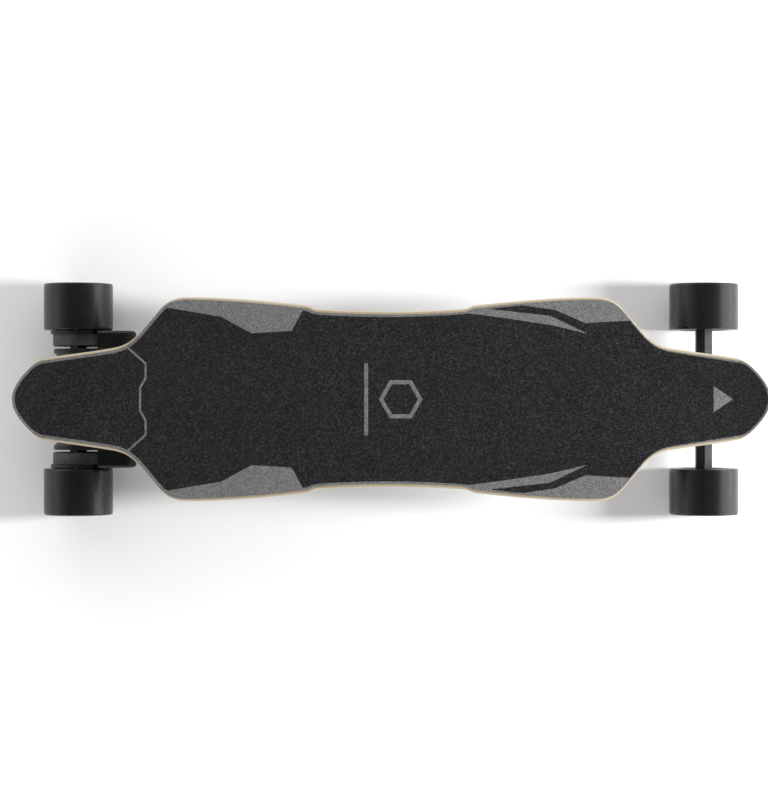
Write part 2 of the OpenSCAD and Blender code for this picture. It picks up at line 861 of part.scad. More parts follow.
// Toothed wheel outline: flat tips at radius r and sloping sides down to the spaces
tooth_corners = [0.02, 0.32, 0.46, 0.88];
tooth_drops = [0, 0, tooth_depth, tooth_depth];
function tooth_points(teeth, r) = [for (i = [0 : teeth - 1]) for (k = [0 : 3])
    let (a = 360 / teeth * (i + tooth_corners[k])) (r - tooth_drops[k]) * [cos(a), sin(a)]];

pulley_lap = 0.3;
motor_flange_inner = teeth_inner - 0.6;
motor_flange_inner_face = teeth_inner + 0.5;
motor_flange_outer = teeth_outer + 0.7;
peg_radius = 3.4;
peg_ring = (hub_radius + rim_inner) / 2;
peg_end = inner_bearing + 9;
pulley_web = 5;
pulley_web_outer = 26;
pulley_web_inner = 15;

module motor_pulley(side) {
    color([0.62, 0.62, 0.63])
        at_rear(side) at_motor() difference() {
            union() {
                slab(side, teeth_inner, teeth_outer) polygon(tooth_points(motor_teeth, motor_pulley_radius));
                barrel(side, motor_flange_inner, motor_flange_inner_face, motor_flange_radius);
                barrel(side, teeth_outer - pulley_lap, motor_flange_outer, motor_flange_radius);
            }
            barrel(side, motor_flange_inner - past, motor_flange_outer + past, shaft_radius);
        }
}

module wheel_pulley(side) {
    color([0.16, 0.16, 0.17])
        at_rear(side) difference() {
            union() {
                slab(side, teeth_inner, teeth_outer) polygon(tooth_points(wheel_teeth, wheel_pulley_radius));
                barrel(side, teeth_outer - pulley_lap, flange_outer, flange_radius);
                for (i = [0 : spoke_count - 1]) rotate([0, 90 + i * 360 / spoke_count, 0])
                    translate([peg_ring, 0, 0]) barrel(side, flange_outer - past, peg_end, peg_radius);
            }
            barrel(side, teeth_inner - past, pulley_bearing + bearing_width, bearing_radius);
            barrel(side, teeth_inner, flange_outer + past, hub_bore);
            sleeve(side, teeth_inner - past, teeth_inner + pulley_web, pulley_web_outer, pulley_web_inner);
        }
}

module drive_belt(side) {
    color([0.07, 0.07, 0.07])
        at_rear(side) slab(side, belt_inner, belt_inner + belt_width) difference() {
            two_rounds(wheel_pulley_radius + belt_back, motor_pulley_radius + belt_back);
            two_rounds(wheel_pulley_radius + belt_gap, motor_pulley_radius + belt_gap);
        }
}

// Outer form of a cover, with its outer edge sloped in by a bevel
module cover_form(side) {
    low = cover_low_radius + cover_wall;
    high = cover_high_radius + cover_wall;
    hull() {
        slab(side, plate_outer, cover_outer - cover_bevel) two_rounds(low, high);
        slab(side, plate_outer, cover_outer) two_rounds(low - cover_bevel, high - cover_bevel);
    }
}

module belt_cover(side) {
    reach = 100;
    color([0.13, 0.13, 0.14])
        at_rear(side) intersection() {
            difference() {
                cover_form(side);
                slab(side, plate_outer - past, cover_face)
                    two_rounds(cover_low_radius, cover_high_radius);
                barrel(side, plate_outer, wheel_inner, cover_low_radius);
            }
            slab(side, plate_outer - past, wheel_inner)
                translate([cover_open_x - reach, -reach / 2]) square([reach, reach]);
        }
}

// ---- electronics ----
function bevelled(half, low, bevel) = [[-half, flange_top], [-half, low + bevel],
    [-half + bevel, low], [half - bevel, low], [half, low + bevel], [half, flange_top]];

// The box's solid form, moved in by a wall
module box_form(inset) {
    low = box_bottom + inset;
    intersection() {
        translate([0, 0, low]) linear_extrude(flange_top - low)
            rounded_rect(box_length - 2 * inset, box_width - 2 * inset, box_corner - inset);
        rotate([90, 0, 0]) linear_extrude(box_width, center = true)
            polygon(bevelled(box_length / 2 - inset, low, box_bevel));
        rotate([90, 0, 90]) linear_extrude(box_length, center = true)
            polygon(bevelled(box_width / 2 - inset, low, box_bevel));
    }
}

module flange_shape(inner_cut) {
    difference() {
        rounded_rect(box_length + 2 * flange_width, box_width + 2 * flange_width, box_corner + flange_width);
        rounded_rect(box_length - 2 * inner_cut, box_width - 2 * inner_cut, box_corner - inner_cut);
    }
}

gland_y = 18;
gland_z = 101;
gland_radius = 6.5;
gland_length = 14;
gland_hole = 5;
gland_stem = 4.9;
gland_nut_radius = 7.5;
gland_nut_inside = 4;
gland_nut_outside = 5;
gland_step = 1.5;
gland_cap = 2;
cable_radius = 3.5;
sink_middle = -215;
sink_length = 110;
sink_width = 96;
port_x = 190;
button_x = 145;
side_z = 98;
button_radius = 6.5;
bezel_radius = 9.5;
bezel_tube = 8;
port_tube = 8;
tube_gap = 0.1;
wall_hole_depth = 14;
sink_gap = 0.3;
port_bore = 4;
port_depth = 13;
port_flange = 22;
wall_y = -box_width / 2;

module enclosure_shell() {
    color([0.15, 0.15, 0.16])
        difference() {
            union() {
                box_form(0);
                translate([0, 0, flange_bottom]) linear_extrude(flange_thickness) flange_shape(box_wall);
            }
            box_form(box_wall);
            translate([0, 0, flange_top - past]) linear_extrude(2 * past)
                rounded_rect(box_length - 2 * box_wall, box_width - 2 * box_wall, box_corner - box_wall);
            at_box_screws() translate([0, 0, flange_bottom - past])
                cylinder(r = screw_radius + bolt_gap, h = flange_thickness + 2 * past);
            for (side = [left, right]) translate([-box_length / 2 - past, side * gland_y, gland_z])
                along_x() cylinder(r = gland_hole, h = box_wall + 2 * past);
            translate([sink_middle, 0, box_bottom])
                cube([sink_length + 2 * sink_gap, sink_width + 2 * sink_gap, 3 * box_wall], center = true);
            on_wall(port_x) rotate([-90, 0, 0])
                translate([0, 0, -past]) cylinder(r = port_tube, h = wall_hole_depth + past);
            on_wall(button_x) rotate([-90, 0, 0])
                translate([0, 0, -past]) cylinder(r = bezel_tube, h = wall_hole_depth + past);
        }
}

module enclosure_gasket() {
    color([0.06, 0.06, 0.06])
        difference() {
            translate([0, 0, flange_top]) linear_extrude(gasket_thickness) flange_shape(box_wall);
            at_box_screws() translate([0, 0, flange_top - past])
                cylinder(r = screw_radius + bolt_gap, h = gasket_thickness + 2 * past);
        }
}

module enclosure_screws() {
    color([0.35, 0.35, 0.36])
        at_box_screws() difference() {
            union() {
                translate([0, 0, flange_bottom - screw_head_height])
                    cylinder(r = screw_head_radius, h = screw_head_height);
                translate([0, 0, flange_bottom - past])
                    cylinder(r = screw_radius, h = deck_height + insert_length - flange_bottom);
            }
            translate([0, 0, flange_bottom - screw_head_height - past])
                cylinder(r = screw_socket_radius, h = screw_socket_depth + past, $fn = 6);
        }
}

cell_radius = 10.6;
cell_length = 70;
cell_pitch = 22.4;
cell_count = 12;
cell_start = 8;
cell_z = 99.5;
cell_y = 38;
terminal_radius = 3.5;
terminal_height = 0.8;
holder_thickness = 6;
holder_height = 25;
holder_end = 3;
cell_inner = cell_y - cell_length / 2;
cell_outer = cell_y + cell_length / 2;

module at_cells() {
    for (i = [0 : cell_count - 1]) translate([cell_start + i * cell_pitch, 0, cell_z]) children();
}

module battery_cells() {
    color([0.2, 0.45, 0.55])
        for (side = [left, right])
            at_cells() {
                barrel(side, cell_inner, cell_outer, cell_radius);
                barrel(side, cell_outer, cell_outer + terminal_height, terminal_radius);
            }
}

module cell_holders() {
    row_length = cell_count * cell_pitch + 2 * past;
    middle = cell_start + (cell_count - 1) * cell_pitch / 2;
    color([0.12, 0.12, 0.12])
        for (side = [left, right],
            place = [cell_inner + holder_end, cell_outer - holder_end - holder_thickness])
            difference() {
                translate([middle, side * (place + holder_thickness / 2), cell_z])
                    cube([row_length, holder_thickness, holder_height], center = true);
                at_cells() barrel(side, place - past, place + holder_thickness + past, cell_radius);
            }
}

board_middle = -70;
board_size = [90, 130, 1.6];
board_z = 92;
// Parts on the board: size, place along X, pitch across Y and number each side of the middle
switches = [[10, 9, 4], 30, 13, 4];
capacitors = [[16, 12, 6], -30, 22, 2];
chip = [[14, 14, 3.2], 0, 0, 0];

module bms_board() {
    color([0.05, 0.3, 0.15])
        translate([board_middle, 0, board_z]) {
            cube(board_size, center = true);
            for (part = [switches, capacitors, chip])
                for (i = [-part[3] : part[3]])
                    translate([part[1], i * part[2], part[0].z / 2])
                        cube([part[0].x, part[0].y, part[0].z + board_size.z], center = true);
        }
}

fin_count = 12;
fin_height = 5;
fin_share = 0.5;
fin_low = -1.5;
sink_base = 3;
sink_step = 4;
controller_height = 16;

module speed_controller() {
    fin_pitch = sink_width / fin_count;
    color([0.6, 0.61, 0.63])
        translate([sink_middle, 0, box_bottom]) {
            difference() {
                translate([-sink_length / 2, -sink_width / 2, fin_low])
                    cube([sink_length, sink_width, fin_height + sink_base]);
                for (i = [0 : fin_count - 1])
                    translate([-sink_length / 2 - past, -sink_width / 2 + (i + fin_share / 2) * fin_pitch,
                        fin_low - past])
                        cube([sink_length + 2 * past, fin_pitch * fin_share, fin_height + past]);
            }
            translate([-sink_length / 2 + sink_step, -sink_width / 2 + sink_step, fin_height])
                cube([sink_length - 2 * sink_step, sink_width - 2 * sink_step, controller_height]);
        }
}

// ---- charge port, button and glands ----
hinge_up = 11.5;
hinge_out = 4.4;
hinge_pin = 1;
lug_radius = 2.2;
lug_web = 2.6;
lug_width = 3;
lug_place = 8;
port_plate = 2;
port_plate_low = -12;
port_plate_high = 13.5;
socket_depth = 12;

module on_wall(x) { translate([x, wall_y, side_z]) children(); }

module charge_port() {
    color([0.12, 0.12, 0.12])
        on_wall(port_x) difference() {
            union() {
                translate([-port_flange / 2, -port_plate, port_plate_low])
                    cube([port_flange, port_plate, port_plate_high - port_plate_low]);
                rotate([-90, 0, 0]) translate([0, 0, -port_plate])
                    cylinder(r = port_tube - tube_gap, h = port_depth);
                for (s = [-1, 1]) translate([s * lug_place, -hinge_out, hinge_up])
                    along_x() cylinder(r = lug_radius, h = lug_width, center = true);
                for (s = [-1, 1]) translate([s * lug_place, -hinge_out / 2, hinge_up])
                    cube([lug_width, hinge_out, lug_web], center = true);
                translate([0, -hinge_out, hinge_up]) along_x()
                    cylinder(r = hinge_pin, h = 2 * lug_place, center = true);
            }
            rotate([-90, 0, 0]) translate([0, 0, -port_plate - past])
                cylinder(r = port_bore, h = socket_depth);
        }
}

cap_radius = 9.5;
cap_thickness = 2.2;
cap_gap = 0.3;
knuckle_radius = 2;
cap_strap_low = 5;
pull_tab = [8, 1.6, 2];
pull_tab_up = -7.5;
pull_tab_lap = 0.2;

module charge_port_cap() {
    knuckle = 2 * lug_place - lug_width - 2 * cap_gap;
    cap_outer = port_plate + cap_gap + cap_thickness;
    color([0.08, 0.08, 0.08])
        on_wall(port_x) difference() {
            union() {
                rotate([90, 0, 0]) translate([0, 0, port_plate + cap_gap])
                    cylinder(r = cap_radius, h = cap_thickness);
                translate([0, -hinge_out, hinge_up]) along_x()
                    cylinder(r = knuckle_radius, h = knuckle, center = true);
                translate([-knuckle / 2, -cap_outer, cap_strap_low])
                    cube([knuckle, cap_thickness, hinge_up - cap_strap_low - hinge_pin]);
                translate([0, pull_tab_lap - cap_outer - pull_tab.y / 2, pull_tab_up])
                    cube(pull_tab, center = true);
            }
            translate([0, -hinge_out, hinge_up]) along_x()
                cylinder(r = hinge_pin + fit_gap, h = 2 * lug_place, center = true);
        }
}

button_travel = 1.5;
button_proud = 2;
button_gap = 0.1;
button_room = 0.4;
bezel_depth = 9;
bezel_rim = 1.6;
bezel_floor = 2.6;

module button_bezel() {
    color([0.6, 0.6, 0.62])
        on_wall(button_x) rotate([-90, 0, 0]) difference() {
            union() {
                translate([0, 0, -bezel_rim]) cylinder(r = bezel_radius, h = bezel_rim);
                translate([0, 0, -past]) cylinder(r = bezel_tube - tube_gap, h = bezel_depth + past);
            }
            translate([0, 0, -bezel_rim - past])
                cylinder(r = button_radius + button_gap, h = bezel_rim + past + bezel_depth - bezel_floor);
        }
}

module power_button() {
    color([0.8, 0.8, 0.82])
        on_wall(button_x) rotate([-90, 0, 0])
            translate([0, 0, -button_proud])
                cylinder(r = button_radius,
                    h = button_proud + bezel_depth - bezel_floor - button_travel - button_room);
}

module cable_glands() {
    color([0.1, 0.1, 0.1])
        for (side = [left, right])
            translate([-box_length / 2, side * gland_y, gland_z]) rotate([0, -90, 0]) difference() {
                union() {
                    translate([0, 0, -box_wall - gland_nut_inside])
                        cylinder(r = gland_stem, h = box_wall + gland_nut_inside + past);
                    translate([0, 0, -box_wall - gland_nut_inside])
                        cylinder(r = gland_nut_radius, h = gland_nut_inside, $fn = 6);
                    cylinder(r = gland_nut_radius, h = gland_nut_outside, $fn = 6);
                    cylinder(r = gland_radius, h = gland_length - gland_cap);
                    cylinder(r = gland_radius - gland_step, h = gland_length);
                }
                translate([0, 0, -box_wall - gland_nut_inside - past])
                    cylinder(r = cable_radius, h = gland_length + box_wall + gland_nut_inside + 2 * past);
            }
}

// Motor cable of the left side: from the controller through the gland, over the can and down
// into the motor's base
cable_route = [[-266.4, 18, 97], [-278, 18, 98.4], [-288, 18, 100.4], [-294, 18, 101], [-316, 18, 101],
    [-323, 19, 100.6], [-328.5, 22.5, 99.8], [-332, 28, 98.8], [-333.4, 35, 97.8],
    [-333.6, 42, 96.6], [-333.2, 48, 94.8], [-332.8, 53, 92.2], [-333, 56.6, 88.8],
    [-334, 57.7, 85.4], [-336, 57.7, 81.9]];
cable_sides = 12;
cable_gap = 0.1;

function unit(v) = v / norm(v);
function tangent(i) = unit(cable_route[min(i + 1, len(cable_route) - 1)] - cable_route[max(i - 1, 0)]);
// Sideways direction of each ring, square to the route and near the vertical plane's normal
function ring_side(i) = unit(cross(tangent(i), cross([0, 1, 1], tangent(i))));
function ring(i, r) = let (s = ring_side(i), u = cross(tangent(i), s))
    [for (k = [0 : cable_sides - 1]) let (a = -k * 360 / cable_sides)
        cable_route[i] + r * (s * cos(a) + u * sin(a))];

module cable_tube(r) {
    rings = len(cable_route);
    points = [for (i = [0 : rings - 1]) each ring(i, r)];
    walls = [for (i = [0 : rings - 2], k = [0 : cable_sides - 1])
        let (a = i * cable_sides + k, b = i * cable_sides + (k + 1) % cable_sides)
        [a, b, b + cable_sides, a + cable_sides]];
    first = [for (k = [cable_sides - 1 : -1 : 0]) k];
    last = [for (k = [0 : cable_sides - 1]) (rings - 1) * cable_sides + k];
    polyhedron(points = points, faces = concat(walls, [first], [last]));
}

module motor_cables() {
    color([0.08, 0.08, 0.08]) {
        cable_tube(cable_radius - cable_gap);
        mirror([0, 1, 0]) cable_tube(cable_radius - cable_gap);
    }
}

deck();
threaded_inserts();
grip_tape();
grip_inlays();
riser_pads();
front_baseplate();
rear_baseplate();
truck_bolts();
pivot_cups();
kingpins();
kingpin_nuts();
bushings();
bushing_washers();
enclosure_shell();
enclosure_gasket();
enclosure_screws();
battery_cells();
cell_holders();
bms_board();
speed_controller();
charge_port();
cable_glands();
motor_cables();
button_bezel();
power_button();
charge_port_cap();
front_hanger();
front_axle();
front_axle_nuts();
rear_hanger();
rear_axle();
rear_axle_nuts();
motor_mount(left);  // left_motor_mount
motor_mount(right);  // right_motor_mount
drive_screws();
motor_stator(left);  // left_motor_stator
motor_stator(right);  // right_motor_stator
motor_rotor(left);  // left_motor_rotor
motor_rotor(right);  // right_motor_rotor
motor_pulley(left);  // left_motor_pulley
motor_pulley(right);  // right_motor_pulley
drive_belt(left);  // left_drive_belt
drive_belt(right);  // right_drive_belt
belt_cover(left);  // left_belt_cover
belt_cover(right);  // right_belt_cover
wheel_pulley(left);  // left_wheel_pulley
wheel_pulley(right);  // right_wheel_pulley
tyre(front, left);  // front_left_tyre
wheel_core(front, left);  // front_left_core
bearings(front, left, [inner_bearing, outer_bearing]);  // front_left_bearings
tyre(front, right);  // front_right_tyre
wheel_core(front, right);  // front_right_core
bearings(front, right, [inner_bearing, outer_bearing]);  // front_right_bearings
tyre(rear, left);  // rear_left_tyre
wheel_core(rear, left);  // rear_left_core
bearings(rear, left, [pulley_bearing, outer_bearing]);  // rear_left_bearings
tyre(rear, right);  // rear_right_tyre
wheel_core(rear, right);  // rear_right_core
bearings(rear, right, [pulley_bearing, outer_bearing]);  // rear_right_bearings
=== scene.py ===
"""Electric skateboard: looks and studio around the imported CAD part, in metres, in the part's own frame."""

import json
import math

import bmesh
import bpy
from mathutils import Matrix, Vector

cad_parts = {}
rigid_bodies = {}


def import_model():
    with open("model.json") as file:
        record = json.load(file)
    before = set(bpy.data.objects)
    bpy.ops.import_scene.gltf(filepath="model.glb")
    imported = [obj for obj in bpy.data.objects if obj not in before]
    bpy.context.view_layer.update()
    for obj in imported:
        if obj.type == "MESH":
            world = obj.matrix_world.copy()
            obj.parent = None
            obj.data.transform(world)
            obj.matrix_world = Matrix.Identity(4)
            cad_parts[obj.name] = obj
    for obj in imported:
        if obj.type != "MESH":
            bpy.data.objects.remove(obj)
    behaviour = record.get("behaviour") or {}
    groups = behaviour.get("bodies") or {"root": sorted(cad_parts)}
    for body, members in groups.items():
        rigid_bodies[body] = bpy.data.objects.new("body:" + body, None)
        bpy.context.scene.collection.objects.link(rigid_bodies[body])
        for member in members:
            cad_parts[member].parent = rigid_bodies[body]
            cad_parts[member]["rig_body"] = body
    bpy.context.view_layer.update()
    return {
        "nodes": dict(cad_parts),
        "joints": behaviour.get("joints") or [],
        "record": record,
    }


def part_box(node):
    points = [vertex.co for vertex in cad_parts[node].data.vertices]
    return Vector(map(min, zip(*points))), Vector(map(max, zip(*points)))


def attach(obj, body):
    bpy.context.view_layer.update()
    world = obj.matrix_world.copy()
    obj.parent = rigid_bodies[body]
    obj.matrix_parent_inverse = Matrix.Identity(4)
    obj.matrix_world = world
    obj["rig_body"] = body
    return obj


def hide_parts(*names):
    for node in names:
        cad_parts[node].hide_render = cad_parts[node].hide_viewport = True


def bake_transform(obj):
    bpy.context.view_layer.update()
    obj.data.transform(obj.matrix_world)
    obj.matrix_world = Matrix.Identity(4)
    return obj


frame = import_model()
scene = bpy.context.scene
nodes = frame["nodes"]
joints = {j["name"]: j for j in frame["joints"]}
MM = 0.001
ENDS = {"front": 1, "rear": -1}
SIDES = {"left": 1, "right": -1}
PLIES = 7

# ---- camera, above the board and looking down: metres, but for the lens and the sensor in millimetres ----
CAMERA_PLACE = (-0.0093, -0.001, 2.913)
CAMERA_LENS = 98.4
CAMERA_SENSOR = 36
CAMERA_CLIP = (0.05, 60)

camera_data = bpy.data.cameras.new("camera")
camera = bpy.data.objects.new("camera", camera_data)
scene.collection.objects.link(camera)
camera.location = CAMERA_PLACE
camera_data.lens = CAMERA_LENS
camera_data.sensor_width = CAMERA_SENSOR
camera_data.dof.use_dof = False
camera_data.clip_start, camera_data.clip_end = CAMERA_CLIP
scene.camera = camera


# ---- materials ----
class Graph:
    """Short calls for adding shader nodes to a tree and joining them."""

    def __init__(self, tree):
        self.tree = tree

    def add(self, kind, **props):
        node = self.tree.nodes.new(kind)
        for key, value in props.items():
            setattr(node, key, value)
        return node

    def join(self, source, socket):
        self.tree.links.new(source, socket)

    def feed(self, socket, value):
        """Join a socket to a node's output, or set its value; a colour is given as three numbers."""
        if isinstance(value, bpy.types.NodeSocket):
            self.join(value, socket)
        elif socket.type == "RGBA":
            socket.default_value = (*value, 1)
        else:
            socket.default_value = value

    def math(self, operation, *values, clamp=False):
        node = self.add("ShaderNodeMath", operation=operation, use_clamp=clamp)
        for socket, value in zip(node.inputs, values):
            self.feed(socket, value)
        return node.outputs[0]

    def axes(self, vector):
        """The X, Y and Z outputs of a vector."""
        node = self.add("ShaderNodeSeparateXYZ")
        self.join(vector, node.inputs[0])
        return node.outputs

    def dot(self, a, b):
        node = self.add("ShaderNodeVectorMath", operation="DOT_PRODUCT")
        self.feed(node.inputs[0], a)
        self.feed(node.inputs[1], b)
        return node.outputs["Value"]

    def ramp(self, value, stops):
        """Grey levels or colours at rising places of a value."""
        node = self.add("ShaderNodeValToRGB")
        points = node.color_ramp.elements
        while len(points) < len(stops):
            points.new(0.5)
        for point, (place, colour) in zip(points, stops):
            point.position = place
            grey = isinstance(colour, (int, float))
            point.color = (colour, colour, colour, 1) if grey else (*colour, 1)
        self.join(value, node.inputs[0])
        return node.outputs[0]


class Shade(Graph):
    """A material made of noise, ramps and bumps on the part's own coordinates."""

    def __init__(self, name):
        self.mat = bpy.data.materials.new(name)
        self.mat.use_nodes = True
        super().__init__(self.mat.node_tree)
        self.tree.nodes.clear()
        self.out = self.add("ShaderNodeOutputMaterial")
        self.bsdf = self.add("ShaderNodeBsdfPrincipled")
        self.join(self.bsdf.outputs[0], self.out.inputs[0])
        self.coord = self.add("ShaderNodeTexCoord").outputs["Object"]
        self.normal = None

    def face_normal(self):
        return self.add("ShaderNodeNewGeometry").outputs["Normal"]

    def stretched(self, scale):
        node = self.add("ShaderNodeMapping")
        self.join(self.coord, node.inputs["Vector"])
        node.inputs["Scale"].default_value = scale
        return node.outputs[0]

    def noise(self, scale, detail=3.0, rough=0.55, stretch=None, twist=0.0):
        node = self.add("ShaderNodeTexNoise")
        self.join(self.stretched(stretch) if stretch else self.coord, node.inputs["Vector"])
        node.inputs["Scale"].default_value = scale
        node.inputs["Detail"].default_value = detail
        node.inputs["Roughness"].default_value = rough
        node.inputs["Distortion"].default_value = twist
        return node.outputs["Fac"]

    def cells(self, scale, output="Distance", feature="F1"):
        node = self.add("ShaderNodeTexVoronoi", feature=feature)
        self.join(self.coord, node.inputs["Vector"])
        node.inputs["Scale"].default_value = scale
        return node.outputs[output]

    def mix(self, share, a, b):
        # The node has sockets for every kind of data; these are the ones for colours
        node = self.add("ShaderNodeMix", data_type="RGBA")
        self.feed(node.inputs[0], share)
        self.feed(node.inputs[6], a)
        self.feed(node.inputs[7], b)
        return node.outputs[2]

    def bump(self, height, strength, depth):
        """Relief from a height, on top of the relief so far."""
        node = self.add("ShaderNodeBump")
        node.inputs["Strength"].default_value = strength
        node.inputs["Distance"].default_value = depth
        self.join(height, node.inputs["Height"])
        if self.normal:
            self.join(self.normal, node.inputs["Normal"])
        self.normal = node.outputs[0]

    def edges(self, width):
        """Share from 0 on flat faces to 1 on edges narrower than a width."""
        bevel = self.add("ShaderNodeBevel", samples=4)
        bevel.inputs["Radius"].default_value = width
        turned = self.math("SUBTRACT", 1.0, self.dot(bevel.outputs[0], self.face_normal()))
        return self.ramp(turned, [(0.02, 0.0), (0.22, 1.0)])

    def done(self, colour, rough, metal=0.0, specular=0.5, coat=0.0, coat_rough=0.1):
        self.feed(self.bsdf.inputs["Base Color"], colour)
        self.feed(self.bsdf.inputs["Roughness"], rough)
        self.feed(self.bsdf.inputs["Metallic"], metal)
        self.bsdf.inputs["Specular IOR Level"].default_value = specular
        self.bsdf.inputs["Coat Weight"].default_value = coat
        self.bsdf.inputs["Coat Roughness"].default_value = coat_rough
        if self.normal:
            self.join(self.normal, self.bsdf.inputs["Normal"])
        return self.mat


def shades(colour, share):
    """A colour made darker and lighter by a share."""
    return tuple(c * (1 - share) for c in colour), tuple(c * (1 + share) for c in colour)


DUST = (0.26, 0.248, 0.232)


def finish(name, colour, rough, metal=0.0, vary=0.18, grain=1800, relief=0.12, depth=0.2 * MM,
           wear=None, dust=None, brushed=None, specular=0.5, coat=0.0):
    """A plain finish: cloudy colour, uneven gloss and a fine relief, with worn edges, dust or brush marks."""
    m = Shade(name)
    dark, light = shades(colour, vary)
    cloud = m.noise(28, detail=5, rough=0.6)
    tone = m.ramp(cloud, [(0.3, dark), (0.7, light)])
    fine = m.noise(grain, detail=2)
    tone = m.mix(m.ramp(fine, [(0.35, 0.0), (0.75, 0.35)]), tone, light)
    gloss = m.ramp(m.noise(84, detail=4), [(0.3, rough[0]), (0.7, rough[1])])
    if brushed:
        marks = m.noise(900, detail=2, stretch=brushed)
        gloss = m.math("ADD", gloss, m.math("MULTIPLY", m.math("SUBTRACT", marks, 0.5), 0.25), clamp=True)
        m.bump(marks, 0.12, 0.05 * MM)
    m.bump(fine, relief, depth)
    if dust:
        lies = m.ramp(m.axes(m.face_normal())["Z"], [(0.2, 0.0), (0.95, 1.0)])
        patch = m.ramp(m.noise(65, detail=6, rough=0.7), [(0.42, 0.0), (0.78, dust)])
        tone = m.mix(m.math("MULTIPLY", lies, patch), tone, DUST)
    if wear:
        edge = m.edges(0.6 * MM)
        spots = m.ramp(m.noise(420, detail=4, rough=0.7), [(0.48, 0.0), (0.62, 1.0)])
        rubbed = m.math("MULTIPLY", edge, spots)
        tone = m.mix(rubbed, tone, wear)
    return m.done(tone, gloss, metal, specular, coat)


def grit(name, dark, mid, light):
    """Abrasive sheet: packed grains a little over a millimetre across, with a painted glint of lighter colour
    on some of them.
    """
    m = Shade(name)
    grain = m.noise(520, detail=3, rough=0.7)
    tone = m.ramp(grain, [(0.32, dark), (0.5, mid), (0.68, light)])
    tone = m.mix(m.ramp(m.noise(9, detail=4), [(0.35, 0.0), (0.7, 0.22)]), tone, mid)
    # Painted glint: a lighter colour on a few grains stands in for the sparkle of their facets
    painted_glint = m.ramp(m.cells(900, output="Color"), [(0.86, 0.0), (0.93, 1.0)])
    tone = m.mix(m.math("MULTIPLY", painted_glint, 0.10), tone, (0.4, 0.4, 0.41))
    m.bump(m.cells(820), 0.6, 0.5 * MM)
    m.bump(grain, 0.6, 0.7 * MM)
    rough = m.ramp(m.noise(14, detail=3), [(0.3, 0.78), (0.7, 0.9)])
    return m.done(tone, rough, specular=0.25)


def wood(name):
    """Maple laminate: long grain on the faces, stacked plies on the rail."""
    m = Shade(name)
    streak = m.noise(34, detail=6, rough=0.62, stretch=(0.06, 1, 1), twist=0.6)
    fibre = m.noise(420, detail=3, rough=0.6, stretch=(0.02, 1, 1))
    face = m.ramp(streak, [(0.3, (0.31, 0.253, 0.172)), (0.5, (0.365, 0.308, 0.215)),
                           (0.72, (0.42, 0.362, 0.268))])
    face = m.mix(m.ramp(fibre, [(0.35, 0.4), (0.62, 0.0)]), face, (0.32, 0.235, 0.145))
    ply = m.add("ShaderNodeAttribute", attribute_name="ply").outputs["Fac"]
    layer = m.math("MULTIPLY", ply, PLIES)
    within = m.math("FRACT", layer)
    cross = m.math("MODULO", m.math("FLOOR", layer), 2.0)
    end_grain = m.noise(1500, detail=2, stretch=(1, 1, 0.3))
    pale = m.ramp(end_grain, [(0.35, (0.36, 0.302, 0.215)), (0.7, (0.46, 0.402, 0.302))])
    deep = m.ramp(end_grain, [(0.35, (0.255, 0.19, 0.125)), (0.7, (0.35, 0.275, 0.19))])
    side = m.mix(m.math("MULTIPLY", cross, 0.75), pale, deep)
    glue = m.ramp(within, [(0.0, 1.0), (0.07, 0.0), (0.93, 0.0), (1.0, 1.0)])
    side = m.mix(m.math("MULTIPLY", glue, 0.55), side, (0.20, 0.13, 0.08))
    flat = m.ramp(m.math("ABSOLUTE", m.axes(m.face_normal())["Z"]), [(0.80, 0.0), (0.97, 1.0)])
    tone = m.mix(flat, side, face)
    tone = m.mix(m.ramp(m.noise(11, detail=5), [(0.4, 0.0), (0.7, 0.5)]), tone, (0.33, 0.245, 0.17))
    m.bump(fibre, 0.12, 0.1 * MM)
    rough = m.ramp(m.noise(60, detail=4), [(0.3, 0.38), (0.7, 0.55)])
    return m.done(tone, rough, coat=0.25, coat_rough=0.25)


def tyre_finish(name):
    """Cast urethane: satin, with turning marks round the tread and a little dust."""
    m = Shade(name)
    cloud = m.noise(45, detail=5, rough=0.65)
    tone = m.ramp(cloud, [(0.3, (0.0065, 0.0065, 0.0067)), (0.72, (0.0098, 0.0098, 0.0101))])
    scuff = m.ramp(m.noise(190, detail=6, rough=0.72), [(0.56, 0.0), (0.76, 0.5)])
    tone = m.mix(m.math("MULTIPLY", scuff, 0.12), tone, (0.05, 0.048, 0.046))
    rings = m.noise(1100, detail=2, stretch=(0.02, 1, 0.02))
    m.bump(rings, 0.03, 0.05 * MM)
    m.bump(m.noise(700, detail=2), 0.03, 0.06 * MM)
    rough = m.ramp(m.noise(160, detail=4), [(0.3, 0.24), (0.72, 0.30)])
    return m.done(tone, rough)


def braid(name):
    """Braided sleeve: two sets of strands that cross over each other, with painted shade darkening the dips
    between strands.
    """
    m = Shade(name)
    strand_shade = m.add("ShaderNodeAttribute", attribute_name="strand_shade").outputs["Fac"]
    # Painted shade: the colour is dark where a strand dips under the other set and lighter on its crown
    tone = m.ramp(strand_shade, [(0.0, (0.008, 0.008, 0.009)), (1.0, (0.045, 0.045, 0.048))])
    tone = m.mix(m.ramp(m.noise(300, detail=3), [(0.5, 0.0), (0.8, 0.3)]), tone, (0.09, 0.09, 0.09))
    m.bump(m.noise(4000, detail=1), 0.25, 0.1 * MM)
    return m.done(tone, m.ramp(m.noise(500), [(0.3, 0.5), (0.7, 0.75)]))


def cell_wrap(name):
    """Shrink wrap in one colour, with long fine creases all over."""
    m = Shade(name)
    tone = m.ramp(m.noise(40, detail=4), [(0.3, (0.03, 0.14, 0.24)), (0.7, (0.05, 0.20, 0.32))])
    m.bump(m.noise(240, detail=4, stretch=(1, 0.15, 1)), 0.3, 0.3 * MM)
    return m.done(tone, m.ramp(m.noise(90), [(0.3, 0.25), (0.7, 0.4)]))


